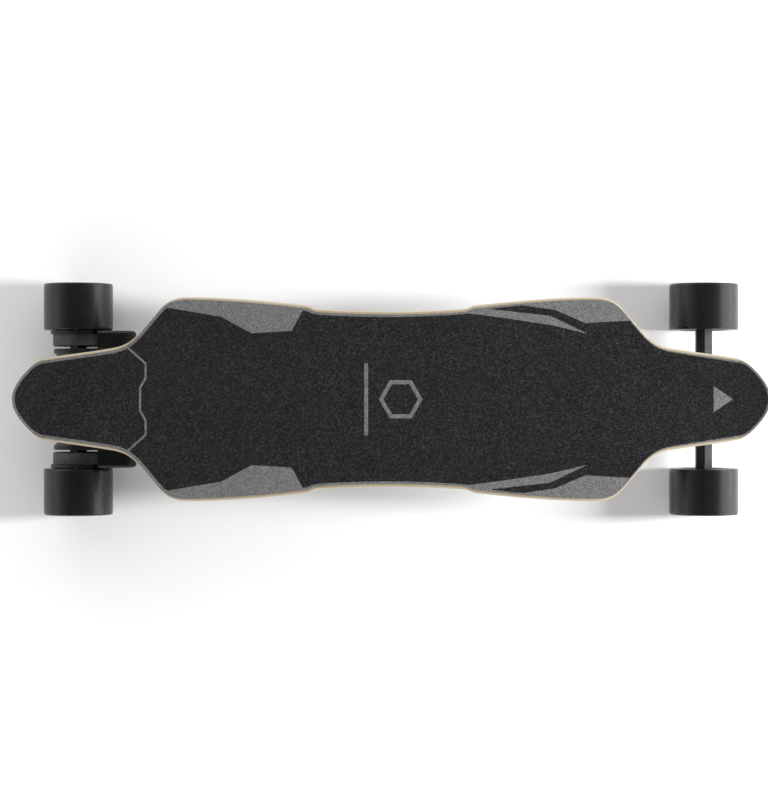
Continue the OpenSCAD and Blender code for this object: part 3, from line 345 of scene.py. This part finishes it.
def board_mask(name):
    """Solder mask over copper tracks."""
    m = Shade(name)
    tracks = m.cells(260, feature="DISTANCE_TO_EDGE")
    line = m.ramp(tracks, [(0.03, 1.0), (0.06, 0.0)])
    tone = m.mix(line, (0.012, 0.075, 0.035), (0.03, 0.15, 0.07))
    m.bump(line, 0.3, 0.05 * MM)
    return m.done(tone, m.ramp(m.noise(150), [(0.3, 0.25), (0.7, 0.4)]), coat=0.4)


RUBBED = (0.42, 0.42, 0.43)
PALE_RUB = (0.10, 0.10, 0.10)
FINISHES = {
    "brass": dict(colour=(0.55, 0.36, 0.13), rough=(0.22, 0.4), metal=1.0, grain=2600,
                  brushed=(1, 1, 0.05)),
    "riser_rubber": dict(colour=(0.018, 0.018, 0.018), rough=(0.7, 0.9), relief=0.3, dust=0.3),
    "truck_black": dict(colour=(0.014, 0.014, 0.015), rough=(0.32, 0.5), grain=2400, relief=0.2,
                        wear=RUBBED, dust=0.22),
    "black_steel": dict(colour=(0.055, 0.055, 0.06), rough=(0.3, 0.5), metal=0.9, grain=2600, wear=RUBBED),
    "urethane_red": dict(colour=(0.40, 0.022, 0.014), rough=(0.28, 0.45), vary=0.12, relief=0.08, dust=0.12,
                         coat=0.1),
    "bright_steel": dict(colour=(0.34, 0.34, 0.35), rough=(0.2, 0.38), metal=1.0, vary=0.12, grain=2600,
                         brushed=(1, 0.05, 1)),
    "enclosure_plastic": dict(colour=(0.018, 0.018, 0.019), rough=(0.52, 0.61), vary=0.09, grain=1500,
                              relief=0.4, depth=0.3 * MM, wear=PALE_RUB, dust=0.15),
    "gasket_rubber": dict(colour=(0.012, 0.012, 0.012), rough=(0.8, 0.95), grain=1200, relief=0.5),
    "holder_plastic": dict(colour=(0.014, 0.014, 0.015), rough=(0.4, 0.6)),
    "heat_sink": dict(colour=(0.28, 0.285, 0.30), rough=(0.3, 0.45), metal=1.0, brushed=(0.05, 1, 1),
                      dust=0.1),
    "port_plastic": dict(colour=(0.014, 0.014, 0.015), rough=(0.25, 0.42), dust=0.15),
    "bright_metal": dict(colour=(0.12, 0.12, 0.125), rough=(0.22, 0.34), metal=1.0, vary=0.1, grain=3000),
    "cap_rubber": dict(colour=(0.016, 0.016, 0.016), rough=(0.6, 0.8), relief=0.25, dust=0.2),
    "hanger_metal": dict(colour=(0.012, 0.012, 0.0125), rough=(0.28, 0.4), grain=2400, relief=0.2,
                         wear=RUBBED, dust=0.1),
    "mount_black": dict(colour=(0.016, 0.016, 0.017), rough=(0.3, 0.46), metal=0.3, grain=2800,
                        wear=RUBBED),
    "stator_metal": dict(colour=(0.30, 0.24, 0.18), rough=(0.35, 0.55), metal=0.9, grain=2200,
                         brushed=(1, 0.02, 1)),
    "motor_can": dict(colour=(0.02, 0.02, 0.021), rough=(0.26, 0.42), metal=0.4, grain=2800, wear=RUBBED,
                      dust=0.15),
    "pulley_steel": dict(colour=(0.32, 0.32, 0.33), rough=(0.25, 0.42), metal=1.0, grain=2600,
                         brushed=(1, 0.05, 1)),
    "belt_rubber": dict(colour=(0.050, 0.050, 0.050), rough=(0.55, 0.72), grain=2000, relief=0.35,
                        dust=0.3),
    "cover_black": dict(colour=(0.0032, 0.0032, 0.0034), rough=(0.42, 0.56), grain=2000, relief=0.2,
                        wear=PALE_RUB, dust=0.06, specular=0.25),
    "pulley_black": dict(colour=(0.018, 0.018, 0.019), rough=(0.4, 0.58), grain=1800, wear=PALE_RUB),
    "wheel_core": dict(colour=(0.03, 0.03, 0.031), rough=(0.4, 0.58), grain=1800, wear=PALE_RUB, dust=0.2),
    "bearing_steel": dict(colour=(0.40, 0.40, 0.415), rough=(0.14, 0.28), metal=1.0, vary=0.08, grain=3000),
}
looks = {
    "deck_wood": wood("deck_wood"),
    "grip_black": grit("grip_black", (0.0010, 0.0010, 0.0011), (0.0066, 0.0066, 0.0069),
                       (0.038, 0.038, 0.039)),
    "grip_grey": grit("grip_grey", (0.064, 0.064, 0.065), (0.122, 0.122, 0.123), (0.205, 0.205, 0.207)),
    "wheel_urethane": tyre_finish("wheel_urethane"),
    "cable_jacket": braid("cable_jacket"),
    "cell_wrap": cell_wrap("cell_wrap"),
    "circuit_board": board_mask("circuit_board"),
    **{name: finish(name, **recipe) for name, recipe in FINISHES.items()},
}

# ---- the CAD nodes' own looks: a finish, and edges rounded by a width in millimetres ----
EDGE_WIDTH = {
    "grip_black": 0.12, "grip_grey": 0.12, "enclosure_plastic": 0.9, "truck_black": 0.9, "hanger_metal": 0.8,
    "mount_black": 0.6, "cover_black": 0.9, "wheel_core": 0.5, "motor_can": 0.5, "riser_rubber": 0.4,
}
PLAIN_EDGE = 0.25
EDGE_ANGLE = math.radians(38)
WELD_REACH = 0.002
slot_of = {part["node"]: part["material_slot"] for part in frame["record"]["subparts"]}


def round_edges(obj, width):
    """Smooth shading with beveled edges, in place of the normals that came with the mesh."""
    obj.data.polygons.foreach_set("use_smooth", [True] * len(obj.data.polygons))
    for name in ("custom_normal", "sharp_edge", "sharp_face"):
        extra = obj.data.attributes.get(name)
        if extra:
            obj.data.attributes.remove(extra)
    weld = obj.modifiers.new("weld", "WELD")
    weld.merge_threshold = WELD_REACH * MM
    bevel = obj.modifiers.new("bevel", "BEVEL")
    bevel.width = width * MM
    bevel.segments = 2
    bevel.limit_method = "ANGLE"
    bevel.angle_limit = EDGE_ANGLE
    bevel.harden_normals = True


for name, obj in nodes.items():
    obj.data.materials.clear()
    obj.data.materials.append(looks[slot_of[name]])
    round_edges(obj, EDGE_WIDTH.get(slot_of[name], PLAIN_EDGE))


# ---- mesh helpers ----
def piece(name, verts, faces, slot, sharp=35):
    """A smooth mesh with its faces turned outwards, and creases sharper than an angle kept."""
    mesh = bpy.data.meshes.new(name)
    mesh.from_pydata([tuple(v) for v in verts], [], faces)
    mesh.validate()
    whole = bmesh.new()
    whole.from_mesh(mesh)
    bmesh.ops.recalc_face_normals(whole, faces=whole.faces)
    whole.to_mesh(mesh)
    whole.free()
    mesh.polygons.foreach_set("use_smooth", [True] * len(mesh.polygons))
    mesh.set_sharp_from_angle(angle=math.radians(sharp))
    mesh.materials.append(looks[slot])
    obj = bpy.data.objects.new(name, mesh)
    scene.collection.objects.link(obj)
    return obj


def point_values(obj, name, values):
    """A number at each vertex, for a material to read by name."""
    obj.data.attributes.new(name, "FLOAT", "POINT").data.foreach_set("value", values)


def arc(centre, radius, start, stop, steps):
    """Points of an arc in a plane, between two angles in degrees."""
    return [(centre[0] + radius * math.cos(math.radians(start + (stop - start) * i / steps)),
             centre[1] + radius * math.sin(math.radians(start + (stop - start) * i / steps)))
            for i in range(steps + 1)]


def rings_to_mesh(rings, closed=True):
    """Vertices and quads through rings of the same size, joined in a loop or capped at both ends."""
    count = len(rings[0])
    verts = [v for ring in rings for v in ring]
    faces = []
    for i in range(len(rings) if closed else len(rings) - 1):
        a, b = i * count, (i + 1) % len(rings) * count
        faces += [(a + k, a + (k + 1) % count, b + (k + 1) % count, b + k) for k in range(count)]
    if not closed:
        faces.append(tuple(range(count)))
        faces.append(tuple(range(len(verts) - count, len(verts))))
    return verts, faces


def lathe(profile, place, segments):
    """A closed profile of (radius, height) points turned about the third column of a matrix."""
    rings = []
    for i in range(segments):
        a = 2 * math.pi * i / segments
        rings.append([place @ Vector((r * math.cos(a), r * math.sin(a), h)) for r, h in profile])
    return rings_to_mesh(rings)


def gather(parts):
    """One list of vertices and one of faces from several."""
    verts, faces = [], []
    for part_verts, part_faces in parts:
        start = len(verts)
        verts += part_verts
        faces += [tuple(start + i for i in face) for face in part_faces]
    return verts, faces


# ---- the wooden board: seven plies with a rounded rail and kicked tips ----
# A quarter of the edge from the middle of the waist to the nose tip, in millimetres: each curve is a
# start, two handles and an end, then the bare wood's width at its start and end.
EDGE = [
    ((0, 112), (32, 112), (62, 113), (92, 115), 4.2, 4.2),
    ((92, 115), (100, 115.5), (101, 119), (110, 120), 4.2, 4.2),
    ((110, 120), (160, 125.5), (210, 130), (256, 130), 4.2, 3.4),
    ((256, 130), (283, 130), (290, 121), (302, 106), 3.4, 1.2),
    ((302, 106), (324, 81), (331, 70), (354, 65.5), 1.2, 3.6),
    ((354, 65.5), (385, 60), (415, 57), (440, 52.6), 3.6, 3.4),
    ((440, 52.6), (446.5, 51.6), (452.5, 47.5), (458, 42.2), 3.4, 0.3),
    ((458, 42.2), (468, 32.5), (482.5, 17), (482.5, 0), 0.3, 0.3),
]
EDGE_STEPS = 14
KICK_START, KICK_LENGTH, TIP_RISE = 430, 52.5, 6
BOARD_THICK = 11.0
UNDER_ROUND = 3.0
# The top corner's rounding is a share of the bare wood's width, between a least and a most
OVER_ROUND_SHARE, OVER_ROUND_LEAST, OVER_ROUND_MOST = 0.8, 0.35, 2.6
# The groove along a glue line: half its width, its depth, and how far it keeps from the rounded corners
GLUE_HALF, GLUE_DEEP, GLUE_CLEAR = 0.12, 0.1, 0.2
QUARTER_TURN = [math.radians(15 * k) for k in range(7)]
# Heights as a share of the thickness stop just short of 0 and 1, so that both faces belong to a ply
PLY_END = 0.001


def edge_points():
    """Place, inward direction and bare width at each point of a quarter of the edge."""
    found = []
    for p0, p1, p2, p3, bare0, bare1 in EDGE:
        for i in range(EDGE_STEPS):
            t = i / EDGE_STEPS
            s = 1 - t
            place = [s**3 * a + 3 * s * s * t * b + 3 * s * t * t * c + t**3 * d
                     for a, b, c, d in zip(p0, p1, p2, p3)]
            head = [s * s * (b - a) + 2 * s * t * (c - b) + t * t * (d - c)
                    for a, b, c, d in zip(p0, p1, p2, p3)]
            size = math.hypot(*head)
            found.append((place, (head[1] / size, -head[0] / size), s * bare0 + t * bare1))
    found.append((EDGE[-1][3], (-1, 0), EDGE[-1][5]))
    return found


def kick(x):
    """Rise of the upturned tips."""
    return TIP_RISE * (max(abs(x) - KICK_START, 0) / KICK_LENGTH) ** 2


def deck_board():
    """The board: one profile of the rail carried round the edge, with strips across both faces."""
    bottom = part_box("deck")[0].z / MM
    quarter = edge_points()
    last = len(quarter) - 1
    # Once round: the edge's quarter is turned to each corner of the board, forwards and backwards by turns
    turn = ([(q, 1, 1) for q in quarter] + [(q, 1, -1) for q in quarter[last - 1::-1]]
            + [(q, -1, -1) for q in quarter[1:]] + [(q, -1, 1) for q in quarter[last - 1:0:-1]])
    rings, heights = [], []
    for (place, inward, bare), sx, sy in turn:
        over = min(max(OVER_ROUND_SHARE * bare, OVER_ROUND_LEAST), OVER_ROUND_MOST)
        profile = [(UNDER_ROUND * (1 - math.sin(a)), UNDER_ROUND * (1 - math.cos(a))) for a in QUARTER_TURN]
        for ply in range(2, PLIES):
            line = BOARD_THICK * ply / PLIES
            if UNDER_ROUND + GLUE_CLEAR < line < BOARD_THICK - over - GLUE_CLEAR:
                profile += [(0.0, line - GLUE_HALF), (GLUE_DEEP, line), (0.0, line + GLUE_HALF)]
            else:
                profile += [(0.0, min(max(line, UNDER_ROUND), BOARD_THICK - over))] * 3
        profile += [(over * (1 - math.cos(a)), BOARD_THICK - over * (1 - math.sin(a))) for a in QUARTER_TURN]
        ring = []
        for inset, up in profile:
            x = sx * (place[0] + inward[0] * inset)
            y = sy * (place[1] + inward[1] * inset)
            ring.append(Vector((x, y, bottom + up + kick(x))) * MM)
            heights.append(min(max(up / BOARD_THICK, PLY_END), 1 - PLY_END))
        rings.append(ring)
    verts, faces = rings_to_mesh(rings)
    count, total = len(rings[0]), len(rings)
    # rings_to_mesh also joins each ring's last point to its first; those faces give way to the strips
    faces = [f for f in faces if f[0] % count != count - 1]
    # The board's left and right halves mirror each other, so strips across it close both faces
    for level in (0, count - 1):
        for k in range(2 * last):
            strip = [(last - k) % total, (last - k - 1) % total, (last + k + 1) % total, (last + k) % total]
            corners = list(dict.fromkeys(v * count + level for v in strip))
            if len(corners) >= 3:
                faces.append(tuple(corners))
    obj = piece("deck_board", verts, faces, "deck_wood", sharp=50)
    point_values(obj, "ply", heights)
    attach(obj, "deck")
    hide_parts("deck")


deck_board()

# ---- tyres: a dished side wall, rounded lips and a slightly crowned tread, in millimetres ----
# The side wall from the bore to the lip: radius, then depth below the tyre's side
SIDE_WALL = [(30.55, 2.4), (31.15, 1.7), (32.2, 1.5), (33.0, 0.7), (34.0, 0.1), (39.2, 0.1), (39.7, 0.45),
             (40.2, 0.0)]
LIP_ROUND = 1.3
# The shoulder from the lip to the flat of the tread: how much smaller the tread's radius is at the lip and
# at the shoulder's start, then where the shoulder starts and ends, in from the tyre's side
LIP_DROP, CROWN_DROP = 0.35, 0.03
SHOULDER_START, SHOULDER_END = 3.4, 4.2
TYRE_SEGMENTS = 144


def tyre(end, side):
    name = f"{end}_{side}_tyre"
    low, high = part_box(name)
    outer = (high.z - low.z) / 2 / MM
    half = (high.y - low.y) / 2 / MM
    lip = arc((outer - LIP_DROP - LIP_ROUND, half - LIP_ROUND), LIP_ROUND, 90, 4, 7)
    outside = [(r, half - deep) for r, deep in SIDE_WALL] + lip
    outside += [(outer - CROWN_DROP, half - SHOULDER_START), (outer, half - SHOULDER_END)]
    profile = outside + [(outer, half / 3), (outer, -half / 3)]
    profile += [(r, -h) for r, h in outside[::-1]]
    bore = SIDE_WALL[0][0]
    profile += [(bore, -half / 2), (bore, 0), (bore, half / 2)]
    place = Matrix.Translation((low + high) / 2) @ Matrix.Rotation(math.radians(-90), 4, "X")
    scaled = [(r * MM, h * MM) for r, h in profile]
    obj = piece(f"{name}_cast", *lathe(scaled, place, TYRE_SEGMENTS), "wheel_urethane", sharp=30)
    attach(obj, f"{end}_{side}_wheel")
    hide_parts(name)


for end in ENDS:
    for side in SIDES:
        tyre(end, side)

# ---- belts: a band round both pulleys, with teeth on its straight runs, in millimetres ----
# Seen along the axle: the rear axle's place, and the motor's place from it as (rearward, up)
AXLE_X, AXLE_Z = -410, 45
MOTOR_AT = Vector((-58.5, 10.0))
# Radii of the band's inner face on the two pulleys, and how many steps each arc takes
WHEEL_RUN, WHEEL_STEPS = 31.38, 72
MOTOR_RUN, MOTOR_STEPS = 12.28, 36
BAND_THICK, BAND_CHAMFER = 1.55, 0.3
BELT_INNER, BELT_OUTER = 69.9, 84.9
# Half of a tooth: distance along the belt from its middle, then how far out from the band's inner face
HALF_TOOTH = [(0.6, -1.9), (1.0, -1.5), (1.25, -0.5), (1.6, 0.2)]
TOOTH_PITCH = 5.0
# How far each end of a tooth stays inside the band's side, and the length of a run that has no teeth
TOOTH_INSET = 0.05
TOOTHLESS = 4


def belt(side):
    sign = SIDES[side]
    body = nodes[f"{side}_drive_belt"]["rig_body"]
    apart = MOTOR_AT.length
    tilt = math.degrees(math.atan2(MOTOR_AT.y, MOTOR_AT.x))
    lean = math.degrees(math.acos((WHEEL_RUN - MOTOR_RUN) / apart))
    axle_arc = [(Vector(p), Vector(p).normalized()) for p in
                arc((0, 0), WHEEL_RUN, tilt + lean, tilt + 360 - lean, WHEEL_STEPS)]
    motor_arc = [(Vector(p), (Vector(p) - MOTOR_AT).normalized()) for p in
                 arc(MOTOR_AT, MOTOR_RUN, tilt - lean, tilt + lean, MOTOR_STEPS)]
    path = axle_arc + motor_arc
    middle = (BELT_INNER + BELT_OUTER) / 2
    half = (BELT_OUTER - BELT_INNER) / 2
    edge, back = BAND_CHAMFER, BAND_THICK
    section = [(0, -half + edge), (edge, -half), (back - edge, -half), (back, -half + edge),
               (back, half - edge), (back - edge, half), (edge, half), (0, half - edge)]
    outline = [(-along, up) for along, up in HALF_TOOTH[::-1]] + HALF_TOOTH

    def world(point, across):
        return Vector((AXLE_X - point.x, sign * (middle + across), AXLE_Z + point.y)) * MM

    rings = [[world(p + n * out, across) for out, across in section] for p, n in path]
    parts = [rings_to_mesh(rings)]
    for first, second in ((axle_arc[-1], motor_arc[0]), (motor_arc[-1], axle_arc[0])):
        run = second[0] - first[0]
        along, n = run.normalized(), first[1]
        count = int((run.length - TOOTHLESS) / TOOTH_PITCH)
        start = (run.length - (count - 1) * TOOTH_PITCH) / 2
        for i in range(count):
            root = first[0] + along * (start + i * TOOTH_PITCH)
            tooth = [[world(root + along * u + n * v, across) for u, v in outline]
                     for across in (-half + TOOTH_INSET, half - TOOTH_INSET)]
            parts.append(rings_to_mesh(tooth, closed=False))
    obj = piece(f"{side}_toothed_belt", *gather(parts), "belt_rubber", sharp=40)
    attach(obj, body)
    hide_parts(f"{side}_drive_belt")


for side in SIDES:
    belt(side)

# ---- bushings and their cupped washers, in millimetres from the middle of the hanger's ring ----
RING_REACH = 30 * MM
KINGPIN_BORE = 4.85
TURNED_STEPS = 64
# Each bushing's face on the ring, its face on the washer and its radius there
BUSHINGS = {"boardside": (4.5, 19.5, 11.6), "roadside": (-4.5, -18.5, 10.2)}
BUSHING_NEAR_RADIUS = 11.9
BUSHING_WAIST = 0.35
BUSHING_CORNER, BUSHING_CORNER_MIDDLE = 0.8, 0.25
BORE_CHAMFER = 0.4
# Each washer's flat face, and the lip of its cup
WASHERS = ((21.5, 18.4), (-20.5, -17.4))
# The cup's outside as radius and depth from the flat face, the radii across its lip and at its inside
WASHER_BEND = [(11.6, 0.0), (12.6, 0.5), (13.1, 1.4)]
WASHER_LIP = (13.1, 12.2)
WASHER_INSIDE = 12.15
WASHER_THICK = 2.0


def steer_matrix(end):
    """Columns: along the steering axis, across, and along the kingpin towards the deck; at the ring."""
    joint = joints[f"{end}_truck_steer"]
    x = Vector(joint["axis"]).normalized()
    z = Vector((-ENDS[end] * abs(x.z), 0, abs(x.x)))
    y = z.cross(x)
    centre = Vector(joint["pos_m"]) + x * RING_REACH
    turn = Matrix((x, y, z)).transposed().to_4x4()
    return Matrix.Translation(centre) @ turn


def bushing(end, name, ring_face, far_face, far_radius):
    """Moulded urethane between the hanger's ring and a washer, a little waisted."""
    place = steer_matrix(end)
    sign = 1 if far_face > ring_face else -1
    near, edge, mid = BUSHING_NEAR_RADIUS, BUSHING_CORNER, BUSHING_CORNER_MIDDLE
    length = abs(far_face - ring_face)
    outside = [(near - edge, 0.0), (near - mid, mid), (near, edge)]
    for k in range(1, 8):
        t = k / 8
        outside.append((near + (far_radius - near) * t - BUSHING_WAIST * math.sin(math.pi * t),
                        edge + (length - 2 * edge) * t))
    outside += [(far_radius, length - edge), (far_radius - mid, length - mid), (far_radius - edge, length)]
    inside = [(KINGPIN_BORE + BORE_CHAMFER, length), (KINGPIN_BORE, length - BORE_CHAMFER)]
    inside += [(KINGPIN_BORE, length * (1 - k / 5)) for k in range(1, 5)]
    inside += [(KINGPIN_BORE, BORE_CHAMFER), (KINGPIN_BORE + BORE_CHAMFER, 0.0)]
    heights = [(r * MM, (ring_face + sign * h) * MM) for r, h in outside + inside]
    obj = piece(f"{end}_{name}_bushing", *lathe(heights, place, TURNED_STEPS), "urethane_red")
    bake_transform(obj)
    return obj


bushings = [bushing(end, name, *faces) for end in ENDS for name, faces in BUSHINGS.items()]
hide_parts("bushings")


def washers():
    """Turned steel cups, two on each kingpin, in one piece."""
    parts = []
    for end in ENDS:
        place = steer_matrix(end)
        for flat, lip in WASHERS:
            inward = -1 if lip < flat else 1
            under = flat + inward * WASHER_THICK
            profile = [(KINGPIN_BORE, flat)] + [(r, flat + inward * deep) for r, deep in WASHER_BEND]
            profile += [(r, lip) for r in WASHER_LIP] + [(WASHER_INSIDE, under), (KINGPIN_BORE, under)]
            parts.append(lathe([(r * MM, h * MM) for r, h in profile], place, TURNED_STEPS))
    obj = piece("cupped_washers", *gather(parts), "bright_steel")
    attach(obj, "deck")
    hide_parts("bushing_washers")


washers()

# ---- motor cables: a braided sleeve from the controller, through the gland, to the motor ----
# Places along the left cable's middle, in millimetres; the right one mirrors it
CABLE_ROUTE = [(-266.4, 18, 97), (-278, 18, 98.4), (-288, 18, 100.4), (-294, 18, 101), (-316, 18, 101),
               (-323, 19, 100.6), (-328.5, 22.5, 99.8), (-332, 28, 98.8), (-333.4, 35, 97.8),
               (-333.6, 42, 96.6), (-333.2, 48, 94.8), (-332.8, 53, 92.2), (-333, 56.6, 88.8),
               (-334, 57.7, 85.4), (-336, 57.7, 81.9)]
CABLE_STEP = 0.6
CABLE_RADIUS = 3.25
STRANDS = 12
STRAND_DEPTH = 0.16
STRAND_TURN = 0.9  # radians per millimetre


def smooth_route(points, step):
    """Points along a smooth curve through the given ones."""
    found = []
    padded = [points[0] * 2 - points[1]] + points + [points[-1] * 2 - points[-2]]
    for a, b, c, d in zip(padded, padded[1:], padded[2:], padded[3:]):
        count = max(1, round((c - b).length / step))
        for i in range(count):
            t = i / count
            found.append(0.5 * (2 * b + (c - a) * t + (2 * a - 5 * b + 4 * c - d) * t * t
                                + (3 * b - a - 3 * c + d) * t**3))
    return found + [points[-1]]


def motor_cable(side):
    route = smooth_route([Vector((x, SIDES[side] * y, z)) for x, y, z in CABLE_ROUTE], CABLE_STEP)
    around = 4 * STRANDS
    # Turned along with the cable, so that the rings of points don't twist against each other
    across = Vector((0, 1, 0))
    rings, strand_shade = [], []
    travel = 0.0
    for i, place in enumerate(route):
        ahead = (route[min(i + 1, len(route) - 1)] - route[max(i - 1, 0)]).normalized()
        across = (across - ahead * across.dot(ahead)).normalized()
        up = ahead.cross(across)
        travel += (place - route[i - 1]).length if i else 0.0
        ring = []
        for k in range(around):
            a = 2 * math.pi * k / around
            right_hand = math.sin(STRANDS / 2 * a + travel * STRAND_TURN)
            left_hand = math.sin(STRANDS / 2 * a - travel * STRAND_TURN)
            over = max(right_hand, left_hand)
            r = CABLE_RADIUS + STRAND_DEPTH * (over - 1)
            ring.append((place + (across * math.cos(a) + up * math.sin(a)) * r) * MM)
            # The strands' height at each point, which the sleeve's material turns into painted shade in the
            # dips
            strand_shade.append(0.5 + 0.5 * over)
        rings.append(ring)
    obj = piece(f"{side}_motor_cable", *rings_to_mesh(rings, closed=False), "cable_jacket", sharp=80)
    point_values(obj, "strand_shade", strand_shade)
    # From the gland, which holds the cable on the deck's side, to the end over the motor
    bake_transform(obj)
    return obj


cables = [motor_cable(side) for side in SIDES]
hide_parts("motor_cables")

# ---- studio: a wide sheet of white paper just under the wheels, which can't be seen from below ----
FLOOR_HALF = 8
FLOOR_DROP = 0.2 * MM
floor_mesh = bpy.data.meshes.new("floor")
corners = [(sx * FLOOR_HALF, sy * FLOOR_HALF, 0) for sx, sy in ((-1, -1), (1, -1), (1, 1), (-1, 1))]
floor_mesh.from_pydata(corners, [], [(0, 1, 2, 3)])
floor = bpy.data.objects.new("floor", floor_mesh)
floor.location.z = -FLOOR_DROP
scene.collection.objects.link(floor)
paper = Shade("floor_paper")
soft = paper.ramp(paper.noise(3, detail=3), [(0.3, (0.90, 0.90, 0.90)), (0.7, (0.93, 0.93, 0.93))])
paper.done(soft, paper.ramp(paper.noise(40), [(0.3, 0.85), (0.7, 0.95)]), specular=0.1)
clear = paper.add("ShaderNodeBsdfTransparent")
either = paper.add("ShaderNodeMixShader")
paper.join(paper.add("ShaderNodeNewGeometry").outputs["Backfacing"], either.inputs[0])
paper.join(paper.bsdf.outputs[0], either.inputs[1])
paper.join(clear.outputs[0], either.inputs[2])
paper.join(either.outputs[0], paper.out.inputs[0])
floor_mesh.materials.append(paper.mat)

# ---- studio: surroundings that are dim overhead and bright low down ----
SKY_STRENGTH = 2.4
# Brightness by the sine of the height, from level to nearly overhead
SKY_BY_HEIGHT = ((0.0, 0.62), (0.30, 1.0), (0.62, 0.42), (0.92, 0.07))
# The long sides are brighter than the ends: a share everywhere, and one by the square of the direction's Y
END_SHARE = 0.36
SIDE_SHARE = 1.35
# A little more light comes from behind the tail and from the left
SKY_LEAN = (-0.10, 0.22, 0)

world = bpy.data.worlds.new("studio")
world.use_nodes = True
sky = Graph(world.node_tree)
direction = sky.add("ShaderNodeTexCoord").outputs["Generated"]
toward = sky.axes(direction)
sideways = sky.math("MULTIPLY", toward["Y"], toward["Y"])
spread = sky.math("MULTIPLY_ADD", sideways, SIDE_SHARE, sky.dot(direction, SKY_LEAN))
strength = sky.math("MULTIPLY_ADD", spread, SKY_STRENGTH, SKY_STRENGTH * END_SHARE)
background = world.node_tree.nodes["Background"]
sky.join(sky.ramp(toward["Z"], SKY_BY_HEIGHT), background.inputs["Color"])
sky.join(strength, background.inputs["Strength"])
scene.world = world


def softbox(name, place, aim, size, watts, gloss_only=False):
    """A rectangular light, either for light and shadow or only for what glossy surfaces reflect."""
    data = bpy.data.lights.new(name, "AREA")
    data.shape = "RECTANGLE"
    data.size, data.size_y = size
    data.energy = watts
    lamp = bpy.data.objects.new(name, data)
    lamp.location = place
    lamp.rotation_mode = "QUATERNION"
    lamp.rotation_quaternion = (Vector(aim) - Vector(place)).to_track_quat("-Z", "Y")
    lamp.visible_glossy = gloss_only
    lamp.visible_diffuse = not gloss_only
    scene.collection.objects.link(lamp)


# Off the nose, a tall narrow box for light and shadow, and a low wide one that only the gloss shows
softbox("key", (2.4, 0.03, 1.12), (0, 0, 0.05), (0.3, 1.2), 112)
softbox("key_face", (1.7, 0, 0.54), (0, 0, 0.2), (1.6, 1.1), 11, gloss_only=True)

scene.view_settings.view_transform = "Standard"
scene.view_settings.look = "None"
